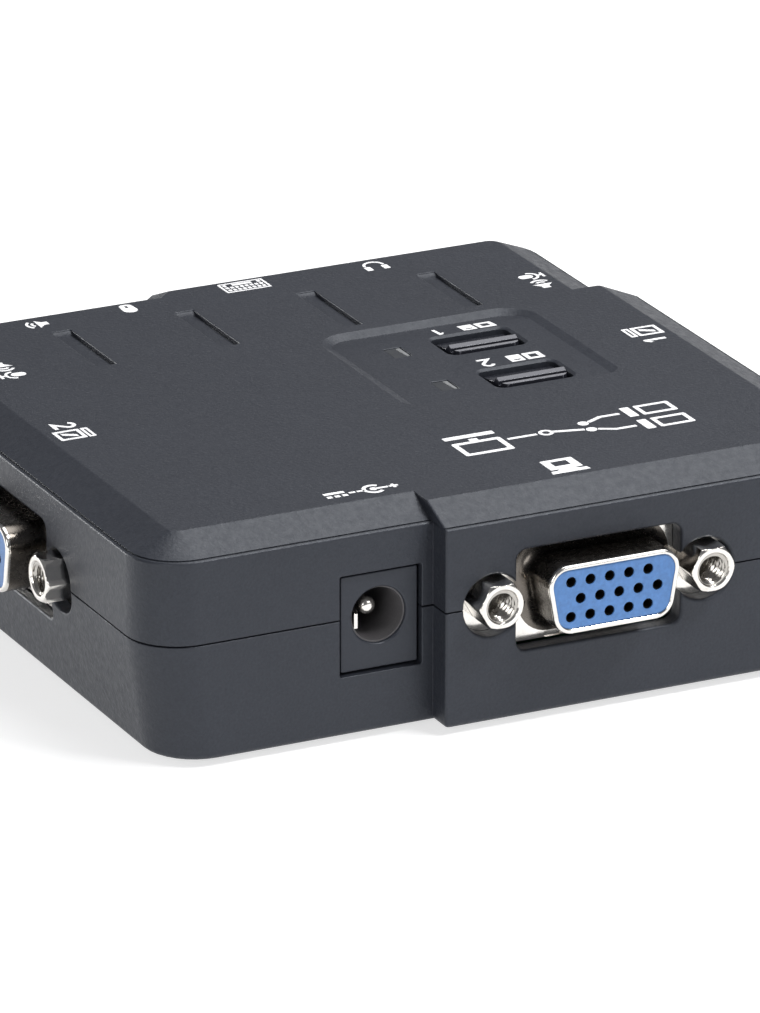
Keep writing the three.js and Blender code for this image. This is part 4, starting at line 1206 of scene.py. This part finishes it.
def mark(name, shapes, x, y, turn=0):
    """Prints the shapes on the top, or on the pocket's floor, about (x, y) and turned by turn."""
    bm = bmesh.new()
    in_pocket = POCKET_X[0] < x < POCKET_X[1] and POCKET_Y[0] < y < POCKET_Y[1]
    for loops in shapes:
        flat = []
        for loop in loops:
            turned = [Matrix.Rotation(math.radians(turn), 2) @ p + Vector((x, y)) for p in loop]
            flat.append([Vector((p.x, p.y, TOP_Z - (pocket_depth(p.y) if in_pocket else 0))) for p in turned])
        points = [p for loop in flat for p in loop]
        low = [bm.verts.new(p - Vector((0, 0, PRINT_SUNK))) for p in points]
        high = [bm.verts.new(p + Vector((0, 0, PRINT_PROUD))) for p in points]
        for triangle in tessellate_polygon(flat):
            bm.faces.new([high[i] for i in triangle])
            bm.faces.new([low[i] for i in reversed(triangle)])
        first = 0
        for loop in flat:
            for i in range(len(loop)):
                a, b = first + i, first + (i + 1) % len(loop)
                bm.faces.new((low[a], low[b], high[b], high[a]))
            first += len(loop)
    bmesh.ops.recalc_face_normals(bm, faces=bm.faces)
    dress(piece(name, bm), "print")


mark("mark_display", monitor_mark(), 7.9, -31.6)
mark("mark_inlet", direct_current_mark(), -15.0, -29.2)
mark("mark_diagram", switch_diagram(), 13.8, -22.0, 180)
computer_1_mark = [*shifted(computer_mark(), 1.75, 0), *shifted(digit_one(), -1.35, 0, 0.9)]
mark("mark_computer_1", computer_1_mark, 35.2, 0.95, 90)
computer_2_mark = [*shifted(computer_mark(), 1.5, 0), *shifted(digit_two(), -1.4, 0, 0.9)]
mark("mark_computer_2", computer_2_mark, -35.0, 1.4, -90)
mark("mark_select_1", [*station_mark(), *shifted(digit_one(), 2.4, 0, 0.72)], 17.5, 13.3, 180)
mark("mark_select_2", [*station_mark(), *shifted(digit_two(), 2.3, 0, 0.8)], 17.7, 1.75, 180)
mark("mark_speaker", speaker_mark(), -24.3, 34.0, 180)
mark("mark_mouse", mouse_mark(), -13.0, 34.4)
mark("mark_keyboard", keyboard_mark(), 1.95, 35.8, 180)
mark("mark_headset", headphones_mark(), 18.1, 35.6)
headset_mark = [*shifted(microphone_mark(), 1.55, 0, 1.05), *shifted(speaker_mark(), -1.35, 0, 1.05)]
mark("mark_audio_1", headset_mark, 32.4, 23.1, 90)
mark("mark_audio_2", headset_mark, -33.4, 21.5, -90)

# ---------------------------------------------------------------- floor, light and background

FLOOR_HALF, FLOOR_GREY, FLOOR_GLOW = 280, 0.5, 0.66
WORLD_LIGHT, WORLD_SEEN = (0.17, 0.172, 0.18, 1), (1, 1, 1, 1)

floor_mesh = bmesh.new()
bmesh.ops.create_grid(floor_mesh, x_segments=8, y_segments=8, size=FLOOR_HALF)
floor = piece("floor", floor_mesh)
floor_look = Look("lit_sweep", (FLOOR_GREY, FLOOR_GREY, FLOOR_GREY), 0.9)
floor_look.tint(floor_look.noise(400, 2.0), 0.995, 1.005)
floor_look.shader.inputs["Emission Color"].default_value = (1, 1, 1, 1)
floor_look.shader.inputs["Emission Strength"].default_value = FLOOR_GLOW
floor.data.materials.append(floor_look.material)


def softbox(name, toward, distance, size, radiance):
    """Rectangular light that is seen from the part in a direction, all in metres."""
    width, height = size
    data = bpy.data.lights.new(name, "AREA")
    data.shape = "RECTANGLE"
    data.size, data.size_y = width, height
    data.energy = radiance * math.pi * width * height
    light = bpy.data.objects.new(name, data)
    away = Vector(toward).normalized()
    light.location = away * distance
    light.rotation_mode = "QUATERNION"
    light.rotation_quaternion = away.to_track_quat("Z", "Y")
    light.visible_camera = False
    bpy.context.collection.objects.link(light)


# Directions and strengths are set for the view from the camera. The edge strip lights up the front
# border and the left glow the left wall; the glow at the far side does so for the right-hand border.
softbox("overhead", (0.41, 0.24, 0.87), 1.0, (0.7, 0.85), 3.8)
softbox("edge_strip", (0.41, -0.4, 0.82), 0.9, (0.35, 0.12), 46.0)
softbox("left_fill", (-0.7, -0.65, 0.35), 1.3, (0.6, 0.6), 4.0)
softbox("far_glow", (0.53, 0.84, 0.03), 1.4, (0.9, 0.12), 1.9)
softbox("left_glow", (-0.41, 0.84, 0.1), 1.2, (0.5, 0.2), 22.0)
softbox("right_fill", (0.41, -0.8, 0.38), 1.3, (0.6, 0.5), 2.0)

world = bpy.data.worlds.new("studio")
bpy.context.scene.world = world
world.use_nodes = True
nodes = world.node_tree.nodes
nodes["Background"].inputs["Color"].default_value = WORLD_LIGHT
# The world is white where the camera sees it, and dim in reflections and as light on the part.
seen = nodes.new("ShaderNodeBackground")
seen.inputs["Color"].default_value = WORLD_SEEN
choose = nodes.new("ShaderNodeMixShader")
path = nodes.new("ShaderNodeLightPath")
links = world.node_tree.links
links.new(path.outputs["Is Camera Ray"], choose.inputs["Fac"])
links.new(nodes["Background"].outputs[0], choose.inputs[1])
links.new(seen.outputs[0], choose.inputs[2])
links.new(choose.outputs[0], nodes["World Output"].inputs["Surface"])
